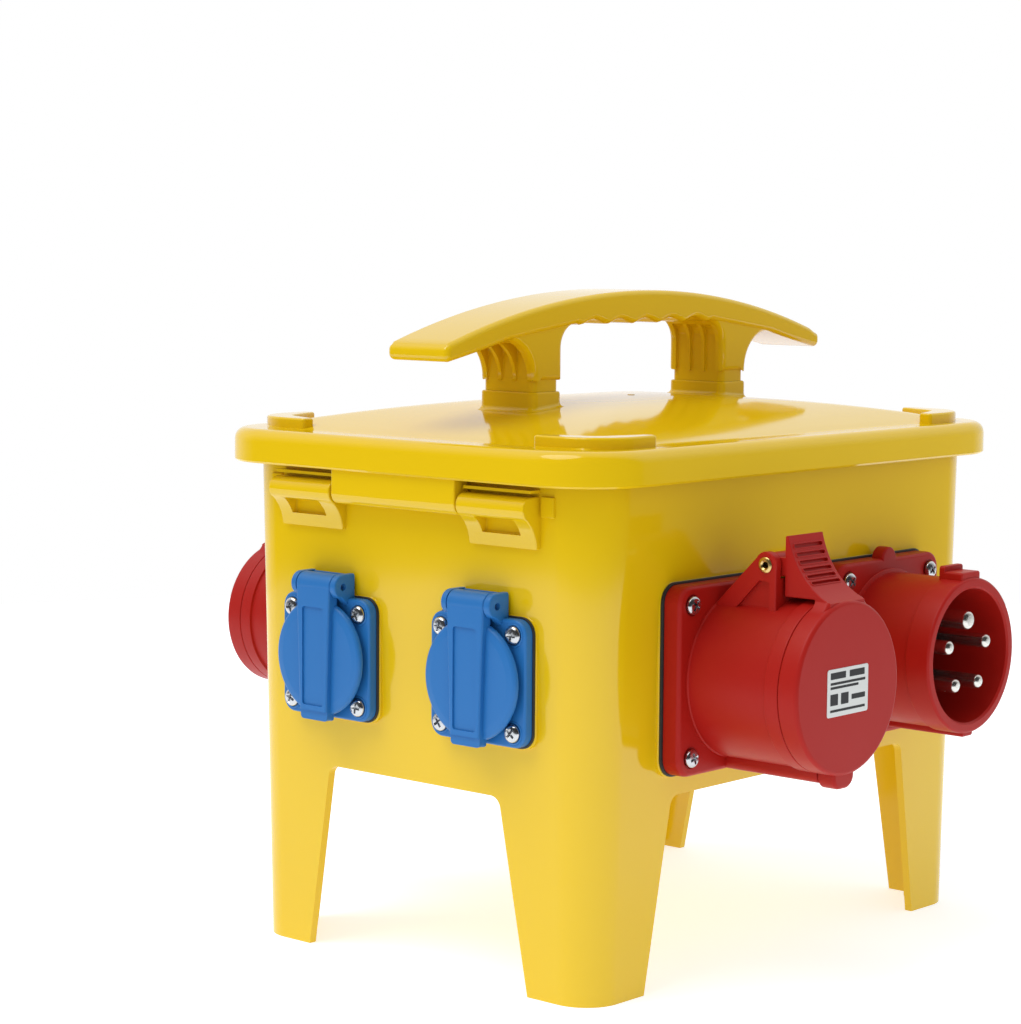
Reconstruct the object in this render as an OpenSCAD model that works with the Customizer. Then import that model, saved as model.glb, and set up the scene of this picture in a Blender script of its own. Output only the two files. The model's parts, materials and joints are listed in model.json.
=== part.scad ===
// Portable power distribution box: moulded tub on four legs, hinged lid with a
// bow handle, two domestic sockets, three round industrial sockets and one inlet.
// Origin: on the ground, under the middle of the tub. +X is the side with the large
// socket and the inlet, -Y is the hinge side, +Z is up. Millimetres.

/* [Tub] */
// Height of the lid's lower edge above the ground
rim_z = 202.6; // [190:0.1:215]
// Half width of the tub at the ground, along X
foot_hx = 93; // [90:0.5:95]
// Half width of the tub at the lid's lower edge, along X
rim_hx = 97; // [96:0.5:98]
// Half depth of the tub at the ground, along Y
foot_hy = 127; // [124:0.5:128]
// Half depth of the tub at the lid's lower edge, along Y
rim_hy = 132; // [131:0.5:132]
// Corner radius at the ground
foot_r = 16; // [12:1:20]
// Corner radius at the top
rim_r = 22; // [18:1:24]
// Wall thickness of the tub
wall = 3.5; // [3:0.1:4]
// Height of the gaps between the legs
gap_h = 78; // [70:1:80]
// Half width of the front and back gaps at their top
gap_hx = 47; // [44:1:50]
// Half width of the side gaps at their top
gap_hy = 80; // [76:1:84]
// How much wider each gap is at the ground, on each side
gap_flare = 14; // [10:1:15]

/* [Lid] */
// Half width of the lid along X
lid_hx = 106.6; // [105:0.1:108]
// Half depth of the lid along Y
lid_hy = 143.4; // [142:0.1:145]
// Corner radius of the lid
lid_r = 29.4; // [26:0.2:32]
// Height of the lid's rim
rim_h = 13.9; // [12:0.1:16]
// Top of the domed lid above the ground
dome_z = 229; // [226:0.5:231]
// Top of the four corner pads above the ground
pad_z = 221; // [219:0.5:223]
// Length of a corner pad's legs
pad_leg = 34; // [28:1:38]

/* [Handle] */
// Top of the handle above the ground
handle_z = 274; // [270:0.5:280]
// Length of the handle, tip to tip
handle_len = 251; // [240:1:256]
// Width of the handle
handle_w = 33; // [30:1:36]
// Distance between the two posts' centres
post_pitch = 126; // [120:1:130]
// Depth of a post along the handle
post_d = 18; // [16:1:20]
// Radius of the handle's arched top
arch_r = 395; // [370:5:420]

/* [Sockets] */
// Height of the industrial sockets' centres
cee_z = 124.7; // [122:0.1:126]
// Distance of the industrial sockets' centres from the middle of the side
cee_y = 52.5; // [50:0.5:54]
// Side of the industrial flanges
cee_flange = 75; // [72:1:76]
// Distance between the industrial flanges' screws
cee_pitch = 60; // [56:1:60]
// Outer radius of the large socket's cap
cee32_cap_r = 34; // [33:0.5:35]
// Outer radius of the small sockets' caps
cee16_cap_r = 32; // [31:0.5:33]
// Height of the domestic sockets' centres
schuko_z = 125; // [122:0.5:126]
// Distance of the domestic sockets' centres from the middle of the front
schuko_x = 42; // [38:0.5:44]
// Side of the domestic flanges
schuko_flange = 50; // [48:1:52]
// Distance between the domestic flanges' screws
schuko_pitch = 38; // [36:1:40]

/* [Hidden] */
$fn = 48;
eps = 0.01;

// Colours
yellow = [0.93, 0.76, 0.10];
red = [0.74, 0.10, 0.07];
blue = [0.08, 0.28, 0.72];
zinc = [0.80, 0.80, 0.82];
brass = [0.80, 0.62, 0.25];
black = [0.05, 0.05, 0.05];
grey = [0.86, 0.86, 0.84];

// Tub
tub_top = rim_z + 4;                  // the wall runs up inside the lid
floor_top = 85;
floor_t = 3;
gap_fillet = 5;
rib_t = 2.4;
seat_x = rim_hx - 0.6;                // flat seats for the side flanges
seat_y = rim_hy - 0.9;                // flat seats for the front flanges
gasket_t = 1.2;
cee_face = seat_x + gasket_t;         // back of the side flanges
schuko_face = seat_y + gasket_t;      // back of the front flanges

// Lid hinge
hinge_y = -137;
hinge_z = 193;
knuckle_r = 4.45;
bar_r = 4.8;
pin_r = 1.75;
skirt_hx = 34;
bar_in = 35;
bar_out = 70;
bracket_z = 177.5;

// Lock screws at the back
lock_x = 52;
lock_y = 136.4;
lock_r = 1.75;

// Lid
lid_t = 3;
rim_step = [1.4, 4.4];                // the rim's edge steps in twice on its way up
border = 14;                          // flat border between the rim's edge and the dome
pad_inset = [9.6, 15];                // corner pads' outer faces, in from the lid's edge
seal_w = 5;
seal_z = tub_top + 3;

// Handle
handle_y = -1.5;
collar_z = 233;
post_hx = 15.2;
grip_z = 260;
tip_t = 6;
tenon = [24, 12, 12];
pocket_floor = 221;

// Domestic socket, in its own frame: x across, y outward from the flange's back, z up
sk_flange_t = 3.9;
sk_well_r = 19.6;
sk_body_r = 22.4;
sk_depth = 35;
sk_well_d = 17.5;
sk_axis_y = 6.6;
sk_axis_z = 29.8;
sk_pin_r = 1.4;
sk_strip_hx = 9.6;
sk_ear_out = 12.8;
sk_disc_r = 24;

// Industrial socket, in its own frame: x outward from the flange's back, y across, z up
cee_flange_t = 8;
cee_front = 52;
cee_cap_t = 9;
cee_bore_r = 28;
cee_floor = 2;
cee_body_r = 26.5;
insert_gap = 0.1;
cee_depth = 34;
cee_axis_x = 32.4;
cee_axis_z = 46.6;
cee_pin_r = 2;
cee_ear_in = 12.4;
cee_ear_out = 15.8;
cee_tab_hy = 11.6;
inlet_front = 49.4;
inlet_r = 32.5;
inlet_well_r = 26;
pin_pcr = 14.7;
earth_pin_r = 4;
phase_pin_r = 3;
shank_step = 0.5;
insert_face = 9;
label_w = 27;
label_h = 18.5;

// Screws
screw_r = 1.9;
screw_hole_r = 2.05;
head_r = 3.7;
head_h = 2.2;

// Breakers on the rail
rail_y0 = -88;
rail_y1 = 92;
rail_z = 88;
rail_w = 35;
module_w = 17.6;
mcb_hx = 42;
mcb_z0 = 91;
mcb_z1 = 137;
mcb_z2 = 156;
lever_z = 150;
lever_r = 6;
lever_lean = 38;
axle_r = 1.5;
axle_gap = 0.06;
button_w = 6;

// ---------- shared shapes ----------

function tub_hx(z) = foot_hx + (rim_hx - foot_hx) * z / rim_z;
function tub_hy(z) = foot_hy + (rim_hy - foot_hy) * z / rim_z;
function tub_r(z) = foot_r + (rim_r - foot_r) * z / rim_z;

module round_rect(hx, hy, r) {
    square([2 * (hx - r), 2 * hy], center = true);
    square([2 * hx, 2 * (hy - r)], center = true);
    for (sx = [-1, 1], sy = [-1, 1])
        translate([sx * (hx - r), sy * (hy - r)]) circle(r);
}

module slab(hx, hy, r, z0, z1) {
    translate([0, 0, z0]) linear_extrude(z1 - z0) round_rect(hx, hy, r);
}

// Tapered block that follows the tub's walls, set in by inset
module tub_block(inset, z0, z1) {
    hull() {
        slab(tub_hx(z0) - inset, tub_hy(z0) - inset, tub_r(z0) - inset, z0, z0 + eps);
        slab(tub_hx(z1) - inset, tub_hy(z1) - inset, tub_r(z1) - inset, z1 - eps, z1);
    }
}

// Solid drawn in a YZ profile and extruded along X between x0 and x1
module along_x(x0, x1) {
    translate([x0, 0, 0]) rotate([90, 0, 90]) linear_extrude(x1 - x0) children();
}

// Solid drawn in an XZ profile and extruded along Y between y0 and y1
module along_y(y0, y1) {
    translate([0, y1, 0]) rotate([90, 0, 0]) linear_extrude(y1 - y0) children();
}

module rod_x(x0, x1, r) {
    translate([x0, 0, 0]) rotate([0, 90, 0]) cylinder(h = x1 - x0, r = r);
}

module rod_y(y0, y1, r) {
    translate([0, y0, 0]) rotate([-90, 0, 0]) cylinder(h = y1 - y0, r = r);
}

module span(x0, x1, y0, y1, z0, z1) {
    translate([x0, y0, z0]) cube([x1 - x0, y1 - y0, z1 - z0]);
}

// Pan-head screw along +X: the head's underside is at x = 0, the shank runs inward
module screw_x(len, r) {
    difference() {
        union() {
            rod_x(-len, eps, r);
            rotate([0, 90, 0]) rotate_extrude() polygon(concat([[0, 0]],
                [for (a = [0:15:90]) [head_r - 1.2 + 1.2 * cos(a), head_h - 1.2 + 1.2 * sin(a)]],
                [[0, head_h]]));
            rod_x(0, head_h - 1.2, head_r);
        }
        for (a = [0, 90]) rotate([a, 0, 0]) span(1.2, head_h + 1, -0.5, 0.5, -2, 2);
    }
}

module place_schuko(x) {
    translate([x, -schuko_face, schuko_z]) mirror([0, 1, 0]) children();
}

module place_cee(side, y) {
    translate([side * cee_face, y, cee_z]) rotate([0, 0, side > 0 ? 0 : 180]) children();
}

// ---------- tub ----------

// Trapezoid gap between two legs with rounded upper corners
function gap_outline(half) = concat(
    [[half + gap_flare + gap_flare / gap_h, -1]],
    [for (a = [0:15:75]) [half - gap_fillet + gap_fillet * cos(a), gap_h - gap_fillet + gap_fillet * sin(a)]],
    [for (a = [90:15:180]) [-half + gap_fillet + gap_fillet * cos(a), gap_h - gap_fillet + gap_fillet * sin(a)]],
    [[-half - gap_flare - gap_flare / gap_h, -1]]);

module leg_gaps() {
    along_y(-rim_hy - 5, rim_hy + 5) polygon(gap_outline(gap_hx));
    along_x(-rim_hx - 5, rim_hx + 5) polygon(gap_outline(gap_hy));
}

// Cross ribs inside the hollow legs
module leg_ribs() {
    for (sx = [-1, 1], sy = [-1, 1]) in_corner(sx, sy) {
        span(76, 76 + rib_t, 101, foot_hy - 1, 1, floor_top - 1);
        span(68, foot_hx - 1, 110, 110 + rib_t, 1, floor_top - 1);
    }
}

module in_corner(sx, sy) {
    mirror([sx < 0 ? 1 : 0, 0, 0]) mirror([0, sy < 0 ? 1 : 0, 0]) children();
}

module flange_seats() {
    for (s = [-1, 1]) {
        for (y = [-cee_y, cee_y])
            span(min(s * (seat_x - wall), s * seat_x), max(s * (seat_x - wall), s * seat_x),
                 y - cee_flange / 2 - 1, y + cee_flange / 2 + 1,
                 cee_z - cee_flange / 2 - 1, cee_z + cee_flange / 2 + 1);
        span(s * schuko_x - schuko_flange / 2 - 1, s * schuko_x + schuko_flange / 2 + 1,
             -seat_y, -seat_y + wall,
             schuko_z - schuko_flange / 2 - 1, schuko_z + schuko_flange / 2 + 1);
    }
}

module flange_holes() {
    for (side = [-1, 1], y = [-cee_y, cee_y]) place_cee(side, y) {
        rod_x(-20, 5, cee_body_r + 0.5);
        screw_spots(cee_pitch) rod_x(-20, 5, screw_hole_r);
    }
    for (x = [-schuko_x, schuko_x]) place_schuko(x) {
        rod_y(-20, 5, sk_body_r + 0.4);
        for (i = [-1, 1], j = [-1, 1])
            translate([i * schuko_pitch / 2, 0, j * schuko_pitch / 2]) rod_y(-20, 5, screw_hole_r);
    }
}

module screw_spots(pitch) {
    for (i = [-1, 1], j = [-1, 1]) translate([0, i * pitch / 2, j * pitch / 2]) children();
}

// One hinge bar with the scooped bracket under it
module hinge_bracket(x0, x1) {
    wall_y = -tub_hy(hinge_z) + 1;
    difference() {
        union() {
            translate([0, hinge_y, hinge_z]) rod_x(x0, x1, bar_r);
            along_x(x0, x1) polygon([
                [wall_y, hinge_z + bar_r], [hinge_y, hinge_z + bar_r],
                [hinge_y - bar_r * cos(40), hinge_z - bar_r * sin(40)],
                [hinge_y + 1.6, hinge_z - 9], [-tub_hy(bracket_z), bracket_z], [wall_y, bracket_z]]);
        }
        span(x0 + 9, x1 - 9, hinge_y - 8, hinge_y + 3.4, bracket_z + 5, hinge_z - bar_r);
        translate([0, hinge_y, hinge_z]) rod_x(x0 - 1, x1 + 1, pin_r + 0.05);
    }
}

module lock_lugs() {
    for (s = [-1, 1]) difference() {
        span(s * lock_x - 7, s * lock_x + 7, tub_hy(190) - 1, lock_y + 4.4, 190, 200.5);
        translate([s * lock_x, lock_y, 189]) cylinder(h = 13, r = lock_r + 0.3);
    }
}

module body_shell() {
    color(yellow) {
        difference() {
            union() {
                difference() {
                    tub_block(0, 0, tub_top);
                    tub_block(wall, floor_top, tub_top + 1);
                    tub_block(wall, -1, floor_top - floor_t);
                }
                flange_seats();
                leg_ribs();
                for (s = [-1, 1]) span(-11, 11, s * 70 - 6, s * 70 + 6, floor_top - 1, rail_z);
            }
            leg_gaps();
            flange_holes();
            for (s = [-1, 1]) translate([0, s * 70, floor_top - 5]) cylinder(h = 20, r = screw_hole_r);
        }
        hinge_bracket(-bar_out, -bar_in);
        hinge_bracket(bar_in, bar_out);
        lock_lugs();
    }
}

module lid_hinge_pin() {
    color(zinc) translate([0, hinge_y, hinge_z]) rod_x(-bar_out + 0.5, bar_out - 0.5, pin_r);
}

module lid_lock_screws() {
    color(zinc) for (s = [-1, 1])
        translate([s * lock_x, lock_y, 190]) rotate([0, 90, 0]) screw_x(20, lock_r);
}

// ---------- lid ----------

// Hipped dome: the space under two crossed arches, cut flat at the very top.
// Each arch drops from dome_z in the middle to the rim's top near the edge.
module dome_space(drop) {
    rise = dome_z - rim_z - rim_h;
    for_x = arch_radius(lid_hx - border, rise);
    for_y = arch_radius(lid_hy - border, rise);
    intersection() {
        translate([0, 0, dome_z - drop - for_x]) rod_y(-lid_hy, lid_hy, for_x, $fn = 360);
        translate([0, 0, dome_z - drop - for_y]) rod_x(-lid_hx, lid_hx, for_y, $fn = 360);
        span(-lid_hx, lid_hx, -lid_hy, lid_hy, 0, dome_z - drop - 0.5);
    }
}

// Radius of an arch with the given half span and rise
function arch_radius(half, rise) = (half * half + rise * rise) / (2 * rise);

// Solid under the lid's outside; a second one, set in and dropped, hollows it
module lid_block(inset, z0, drop) {
    slab(lid_hx - inset, lid_hy - inset, lid_r - inset, z0, rim_z + 10 - drop);
    slab(lid_hx - inset - rim_step[0], lid_hy - inset - rim_step[0], lid_r - inset - rim_step[0],
         z0, rim_z + 12.4 - drop);
    slab(lid_hx - inset - rim_step[1], lid_hy - inset - rim_step[1], lid_r - inset - rim_step[1],
         z0, rim_z + rim_h - drop);
    intersection() {
        slab(lid_hx - border + 1, lid_hy - border + 1, lid_r - border + 1, z0, dome_z);
        dome_space(drop);
    }
}

module seal_ring(w, z0, z1) {
    mid_x = tub_hx(tub_top) - wall / 2;
    mid_y = tub_hy(tub_top) - wall / 2;
    difference() {
        slab(mid_x + w / 2, mid_y + w / 2, rim_r + w / 2, z0, z1);
        slab(mid_x - w / 2, mid_y - w / 2, rim_r - w / 2, z0 - 1, z1 + 1);
    }
}

module corner_pads() {
    px = lid_hx - pad_inset[0];
    py = lid_hy - pad_inset[1];
    r = lid_r - pad_inset[0];
    for (sx = [-1, 1], sy = [-1, 1]) in_corner(sx, sy)
        intersection() {
            slab(px, py, r, rim_z + rim_h - 3, pad_z);
            translate([0, 0, rim_z]) linear_extrude(40)
                polygon([[px + 1, py + 1], [px - pad_leg, py + 1], [px - pad_leg, py],
                         [px, py - pad_leg], [px + 1, py - pad_leg]]);
        }
}

module post_spots() {
    for (s = [-1, 1]) translate([0, handle_y + s * post_pitch / 2, 0]) children();
}

module lid_shell() {
    color(yellow) difference() {
        union() {
            difference() {
                lid_block(0, rim_z, 0);
                lid_block(lid_t, rim_z - 1, lid_t);
            }
            seal_ring(seal_w + 2, seal_z, rim_z + rim_h - 1.5);
            corner_pads();
            post_spots() {
                slab(handle_w / 2, post_d / 2 + 1.6, 3, pocket_floor - 3, collar_z);
            }
            // hinge skirt and knuckle
            span(-skirt_hx, skirt_hx, hinge_y - knuckle_r, hinge_y + 3.9, hinge_z, rim_z + 11);
            translate([0, hinge_y, hinge_z]) rod_x(-skirt_hx, skirt_hx, knuckle_r);
            // bosses for the lock screws
            for (s = [-1, 1]) span(s * lock_x - 5, s * lock_x + 5, lock_y - 3.3, lid_hy - 1, rim_z + 1, rim_z + 11);
        }
        post_spots() {
            span(-tenon[0] / 2 - 0.15, tenon[0] / 2 + 0.15, -tenon[1] / 2 - 0.15, tenon[1] / 2 + 0.15,
                 pocket_floor, collar_z + 1);
            for (i = [-1, 1]) translate([i * 6, 0, pocket_floor - 5]) cylinder(h = 10, r = screw_hole_r);
        }
        translate([0, hinge_y, hinge_z]) rod_x(-skirt_hx - 1, skirt_hx + 1, pin_r + 0.06);
        for (s = [-1, 1]) translate([s * lock_x, lock_y, rim_z]) cylinder(h = 9, r = 2.7);
    }
}

module lid_seal() {
    color(black) seal_ring(seal_w, tub_top, seal_z);
}

// ---------- handle ----------

// Height of the handle's top at distance y from its middle
function arch(y) = handle_z - arch_r + sqrt(arch_r * arch_r - y * y);

module handle_outline() {
    half = handle_len / 2;
    inner = post_pitch / 2 - post_d / 2;
    outer = post_pitch / 2 + post_d / 2;
    difference() {
        union() {
            // beam: arched top, thin tips, straight grip underside
            polygon(concat(
                [for (i = [-20:20]) [i * half / 20, arch(i * half / 20)]],
                [[half, arch(half) - tip_t], [outer + 18, arch(outer + 18) - 8], [outer, grip_z - 3],
                 [inner, grip_z], [-inner, grip_z], [-outer, grip_z - 3],
                 [-outer - 18, arch(outer + 18) - 8], [-half, arch(half) - tip_t]]));
            for (s = [-1, 1]) {
                translate([s * post_pitch / 2, (collar_z + grip_z + 6) / 2])
                    square([post_d, grip_z + 6 - collar_z], center = true);
                // flares between post and beam
                translate([s * (inner - 5), grip_z - 5]) square([10.2, 10.2], center = true);
                translate([s * (outer + 8), grip_z - 9]) square([16.2, 14.2], center = true);
            }
        }
        for (s = [-1, 1]) {
            translate([s * (inner - 10), grip_z - 10]) circle(10);
            translate([s * (outer + 16), grip_z - 22]) circle(16.5);
        }
        for (i = [-2:2]) translate([i * 17, grip_z - 9]) circle(11);
    }
}

module handle() {
    color(yellow) difference() {
        union() {
            translate([0, handle_y, 0]) intersection() {
                along_x(-handle_w / 2, handle_w / 2) handle_outline();
                union() {
                    span(-handle_w / 2, handle_w / 2, -handle_len, handle_len, grip_z - 22, handle_z + 1);
                    span(-post_hx, post_hx, -handle_len, handle_len, collar_z - 1, grip_z);
                }
            }
            post_spots() span(-tenon[0] / 2, tenon[0] / 2, -tenon[1] / 2, tenon[1] / 2,
                              collar_z - tenon[2], collar_z + 1);
        }
        // slots between the posts' ribs
        post_spots() for (i = [-1:1], s = [-1, 1])
            span(i * 8 - 2.6, i * 8 + 2.6, s > 0 ? post_d / 2 - 4 : -post_d / 2 - 1,
                 s > 0 ? post_d / 2 + 1 : -post_d / 2 + 4, collar_z + 10, grip_z - 6);
        // neck line above the collar
        post_spots() difference() {
            span(-20, 20, -20, 20, collar_z + 0.01, collar_z + 8);
            span(-post_hx + 0.5, post_hx - 0.5, -post_d / 2 + 0.5, post_d / 2 - 0.5, collar_z - 1, collar_z + 9);
        }
        post_spots() for (i = [-1, 1])
            translate([i * 6, 0, collar_z - tenon[2] - 1]) cylinder(h = 14, r = screw_hole_r);
    }
}

module handle_screws() {
    color(zinc) post_spots() for (i = [-1, 1])
        translate([i * 6, 0, pocket_floor - 3]) rotate([0, 90, 0]) screw_x(14, screw_r);
}

// ---------- domestic socket (own frame: x across, y outward, z up) ----------

module rect_y(hx, hz, r, y0, y1) {
    translate([0, y0, 0]) rotate([90, 0, 0]) mirror([0, 0, 1]) linear_extrude(y1 - y0) round_rect(hx, hz, r);
}

module schuko_housing() {
    f = schuko_flange / 2;
    color(blue) difference() {
        union() {
            rect_y(f, f, 6, 0, sk_flange_t);
            rod_y(-sk_depth, 1, sk_body_r);
            rod_y(sk_flange_t - 1, sk_flange_t + 0.9, sk_well_r + 1.6);
            // hinge housing: back wall and two ears
            span(-sk_ear_out, sk_ear_out, 0, 1.2, f - 3, sk_axis_z + 5.2);
            for (s = [-1, 1]) {
                span(s > 0 ? sk_strip_hx + 0.25 : -sk_ear_out, s > 0 ? sk_ear_out : -sk_strip_hx - 0.25,
                     0, sk_axis_y, f - 2, sk_axis_z + 5.2);
                translate([0, sk_axis_y, sk_axis_z])
                    rod_x(s > 0 ? sk_strip_hx + 0.25 : -sk_ear_out, s > 0 ? sk_ear_out : -sk_strip_hx - 0.25, 5);
            }
        }
        rod_y(sk_flange_t - sk_well_d, sk_flange_t + 5, sk_well_r);
        for (s = [-1, 1]) translate([s * 9.5, 0, 0]) rod_y(-sk_depth + 4, 0, 2.7);
        // grooves for the earth clips
        for (s = [-1, 1]) span(-4, 4, sk_flange_t - 15, sk_flange_t - 3,
                               s > 0 ? sk_well_r - 1 : -sk_well_r - 1.5, s > 0 ? sk_well_r + 1.5 : -sk_well_r + 1);
        translate([0, sk_axis_y, sk_axis_z]) rod_x(-20, 20, sk_pin_r + 0.04);
        for (i = [-1, 1], j = [-1, 1])
            translate([i * schuko_pitch / 2, 0, j * schuko_pitch / 2]) rod_y(-1, 10, screw_hole_r);
    }
}

module schuko_contacts() {
    color(brass) for (x = [-schuko_x, schuko_x]) place_schuko(x) {
        for (s = [-1, 1]) {
            translate([s * 9.5, 0, 0]) difference() {
                rod_y(-sk_depth + 5, -sk_depth + 20, 2.65);
                rod_y(-sk_depth + 7, -sk_depth + 21, 2.2);
            }
            z0 = s > 0 ? sk_well_r + 0.1 : -sk_well_r - 1.1;
            span(-3.5, 3.5, sk_flange_t - 14.5, sk_flange_t - 3.5, z0, z0 + 1);
        }
    }
}

module schuko_gasket() {
    f = schuko_flange / 2 + 0.8;
    color(black) difference() {
        rect_y(f, f, 6.8, -gasket_t, 0);
        rod_y(-gasket_t - 1, 1, sk_body_r + 0.1);
        for (i = [-1, 1], j = [-1, 1])
            translate([i * schuko_pitch / 2, 0, j * schuko_pitch / 2]) rod_y(-3, 1, screw_hole_r + 0.1);
    }
}

module schuko_flap() {
    d0 = sk_flange_t + 2.4;
    d1 = sk_axis_y + 2.6;
    color(blue) difference() {
        union() {
            // round lid with a softened edge
            rotate([-90, 0, 0]) rotate_extrude() polygon(concat(
                [[0, d0], [sk_disc_r, d0]],
                [for (a = [0:15:90]) [sk_disc_r - 2 + 2 * cos(a), d1 - 2 + 2 * sin(a)]],
                [[0, d1]]));
            // strip from the hinge down over the lid to the lift tab
            translate([0, sk_axis_y, 0]) rotate([-90, 0, 0]) linear_extrude(5)
                polygon([[-sk_strip_hx, -sk_axis_z], [sk_strip_hx, -sk_axis_z],
                         [7.6, schuko_flange / 2 + 0.5], [-7.6, schuko_flange / 2 + 0.5]]);
            span(-7.6, 7.6, d0, sk_axis_y + 4, -schuko_flange / 2 - 0.5, -16);
            translate([0, sk_axis_y, sk_axis_z]) rod_x(-sk_strip_hx, sk_strip_hx, 5);
        }
        // recessed panel
        span(-6, 6, sk_axis_y + 4.4, sk_axis_y + 6, -19.5, 21);
        translate([0, sk_axis_y, sk_axis_z]) rod_x(-20, 20, sk_pin_r + 0.05);
        // room for the spring in the knuckle
        translate([0, sk_axis_y, sk_axis_z]) rod_x(-5, 5, 3.2);
        rod_y(d0 - 1, d0 + 1, 20.6);
    }
}

module schuko_flap_seal() {
    color(black) difference() {
        rod_y(sk_flange_t + 0.9, sk_flange_t + 3.4, 20.5);
        rod_y(sk_flange_t, sk_flange_t + 4, 17.5);
    }
}

module schuko_flap_pin() {
    color(zinc) translate([0, sk_axis_y, sk_axis_z]) rod_x(-sk_ear_out + 0.4, sk_ear_out - 0.4, sk_pin_r);
}

// Coil of a torsion spring, drawn as closed rings side by side around the X axis
module coil_x(x0, turns, pitch, r, wire) {
    for (i = [0:turns - 1]) translate([x0 + i * pitch, 0, 0]) rotate([0, 90, 0])
        rotate_extrude() translate([r, 0]) circle(wire, $fn = 16);
}

module schuko_flap_springs() {
    color(zinc) for (x = [-schuko_x, schuko_x]) place_schuko(x)
        translate([0, sk_axis_y, sk_axis_z]) coil_x(-3.6, 7, 1.2, 2.3, 0.45);
}

module schuko_screws() {
    color(zinc) for (x = [-schuko_x, schuko_x], i = [-1, 1], j = [-1, 1])
        place_schuko(x) translate([i * schuko_pitch / 2, sk_flange_t, j * schuko_pitch / 2])
            rotate([0, 0, 90]) screw_x(12, screw_r);
}

// ---------- industrial socket (own frame: x outward, y across, z up) ----------

module rect_x(hy, hz, r, x0, x1) {
    translate([x0, 0, 0]) rotate([90, 0, 90]) linear_extrude(x1 - x0) round_rect(hy, hz, r);
}

module cee_flange_plate() {
    f = cee_flange / 2;
    rect_x(f, f, 7, 0, cee_flange_t - 1.5);
    rect_x(f - 1.2, f - 1.2, 6, cee_flange_t - 2, cee_flange_t);
}

// Pentagon of spots for five contacts, the first one at the top
module five_spots() {
    for (i = [0:4]) rotate([i * 72, 0, 0]) translate([0, 0, pin_pcr]) children();
}

// Round bars or holes for the inlet's pins: the earth pin at the top is thicker
module pin_bars(x0, x1, gap) {
    for (i = [0:4]) rotate([i * 72, 0, 0]) translate([0, 0, pin_pcr])
        rod_x(x0, x1, (i == 0 ? earth_pin_r : phase_pin_r) + gap);
}

module cee_housing(cap_r) {
    color(red) difference() {
        union() {
            cee_flange_plate();
            rod_x(cee_flange_t - 1, cee_front - 6, cap_r - 1);
            rod_x(cee_front - 7, cee_front, cap_r);
            // keyway rib under the barrel
            span(cee_flange_t - 1, cee_front, -6, 6, -cap_r - 3.5, -cap_r + 3);
            // hinge ears
            for (s = [-1, 1]) {
                y0 = s > 0 ? cee_ear_in : -cee_ear_out;
                y1 = s > 0 ? cee_ear_out : -cee_ear_in;
                along_y(y0, y1) polygon([
                    [cee_flange_t - 1, cap_r - 6], [cee_flange_t - 1, 33.5],
                    [cee_axis_x - 4.2, cee_axis_z + 3], [cee_axis_x + 4.9, cee_axis_z + 1],
                    [cee_axis_x + 4.9, cap_r - 6]]);
                translate([cee_axis_x, 0, cee_axis_z]) rod_y(y0, y1, 5.2);
            }
        }
        rod_x(cee_floor, cee_front + 1, cee_bore_r);
        rod_x(-1, cee_floor + 1, cee_body_r);
        translate([cee_axis_x, 0, cee_axis_z]) rod_y(-20, 20, cee_pin_r + 0.05);
        screw_spots(cee_pitch) rod_x(-1, 20, screw_hole_r);
    }
}

// Contact carrier that snaps into the housing's floor
module cee_insert() {
    color(red) difference() {
        rod_x(-cee_depth, cee_floor, cee_body_r - insert_gap);
        five_spots() rod_x(-cee_depth + 6, cee_floor + 1, 4.6);
    }
}

module cee_contacts() {
    color(brass) for (p = cee_places) place_cee(p[0], p[1]) five_spots() difference() {
        rod_x(-cee_depth + 7, -1, 4.4);
        rod_x(-cee_depth + 9, 0, 3.2);
    }
}

module cee_gasket() {
    f = cee_flange / 2 + 0.9;
    color(black) difference() {
        rect_x(f, f, 7.9, -gasket_t, 0);
        rod_x(-gasket_t - 1, 1, cee_body_r + 0.1);
        screw_spots(cee_pitch) rod_x(-3, 1, screw_hole_r + 0.1);
    }
}

// Side outline of the flap's thumb tab: straight back, hollow front curve
function tab_outline(cap_r) = concat(
    [[cee_axis_x + 6, cap_r + 0.5], [cee_axis_x + 6, cee_axis_z + 12.6]],
    [for (i = [0:8]) let (
            t = i / 8,
            tip = [cee_axis_x + 7.2, cee_axis_z + 12.6],
            bend = [cee_axis_x + 11.7, cap_r + 6.4],
            foot = [cee_front + cee_cap_t - 1, cap_r - 1])
        (1 - t) * (1 - t) * tip + 2 * t * (1 - t) * bend + t * t * foot],
    [[cee_front + cee_cap_t - 1, cap_r - 8], [cee_front + 0.5, cap_r - 8], [cee_front + 0.5, cap_r + 0.5]]);

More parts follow.
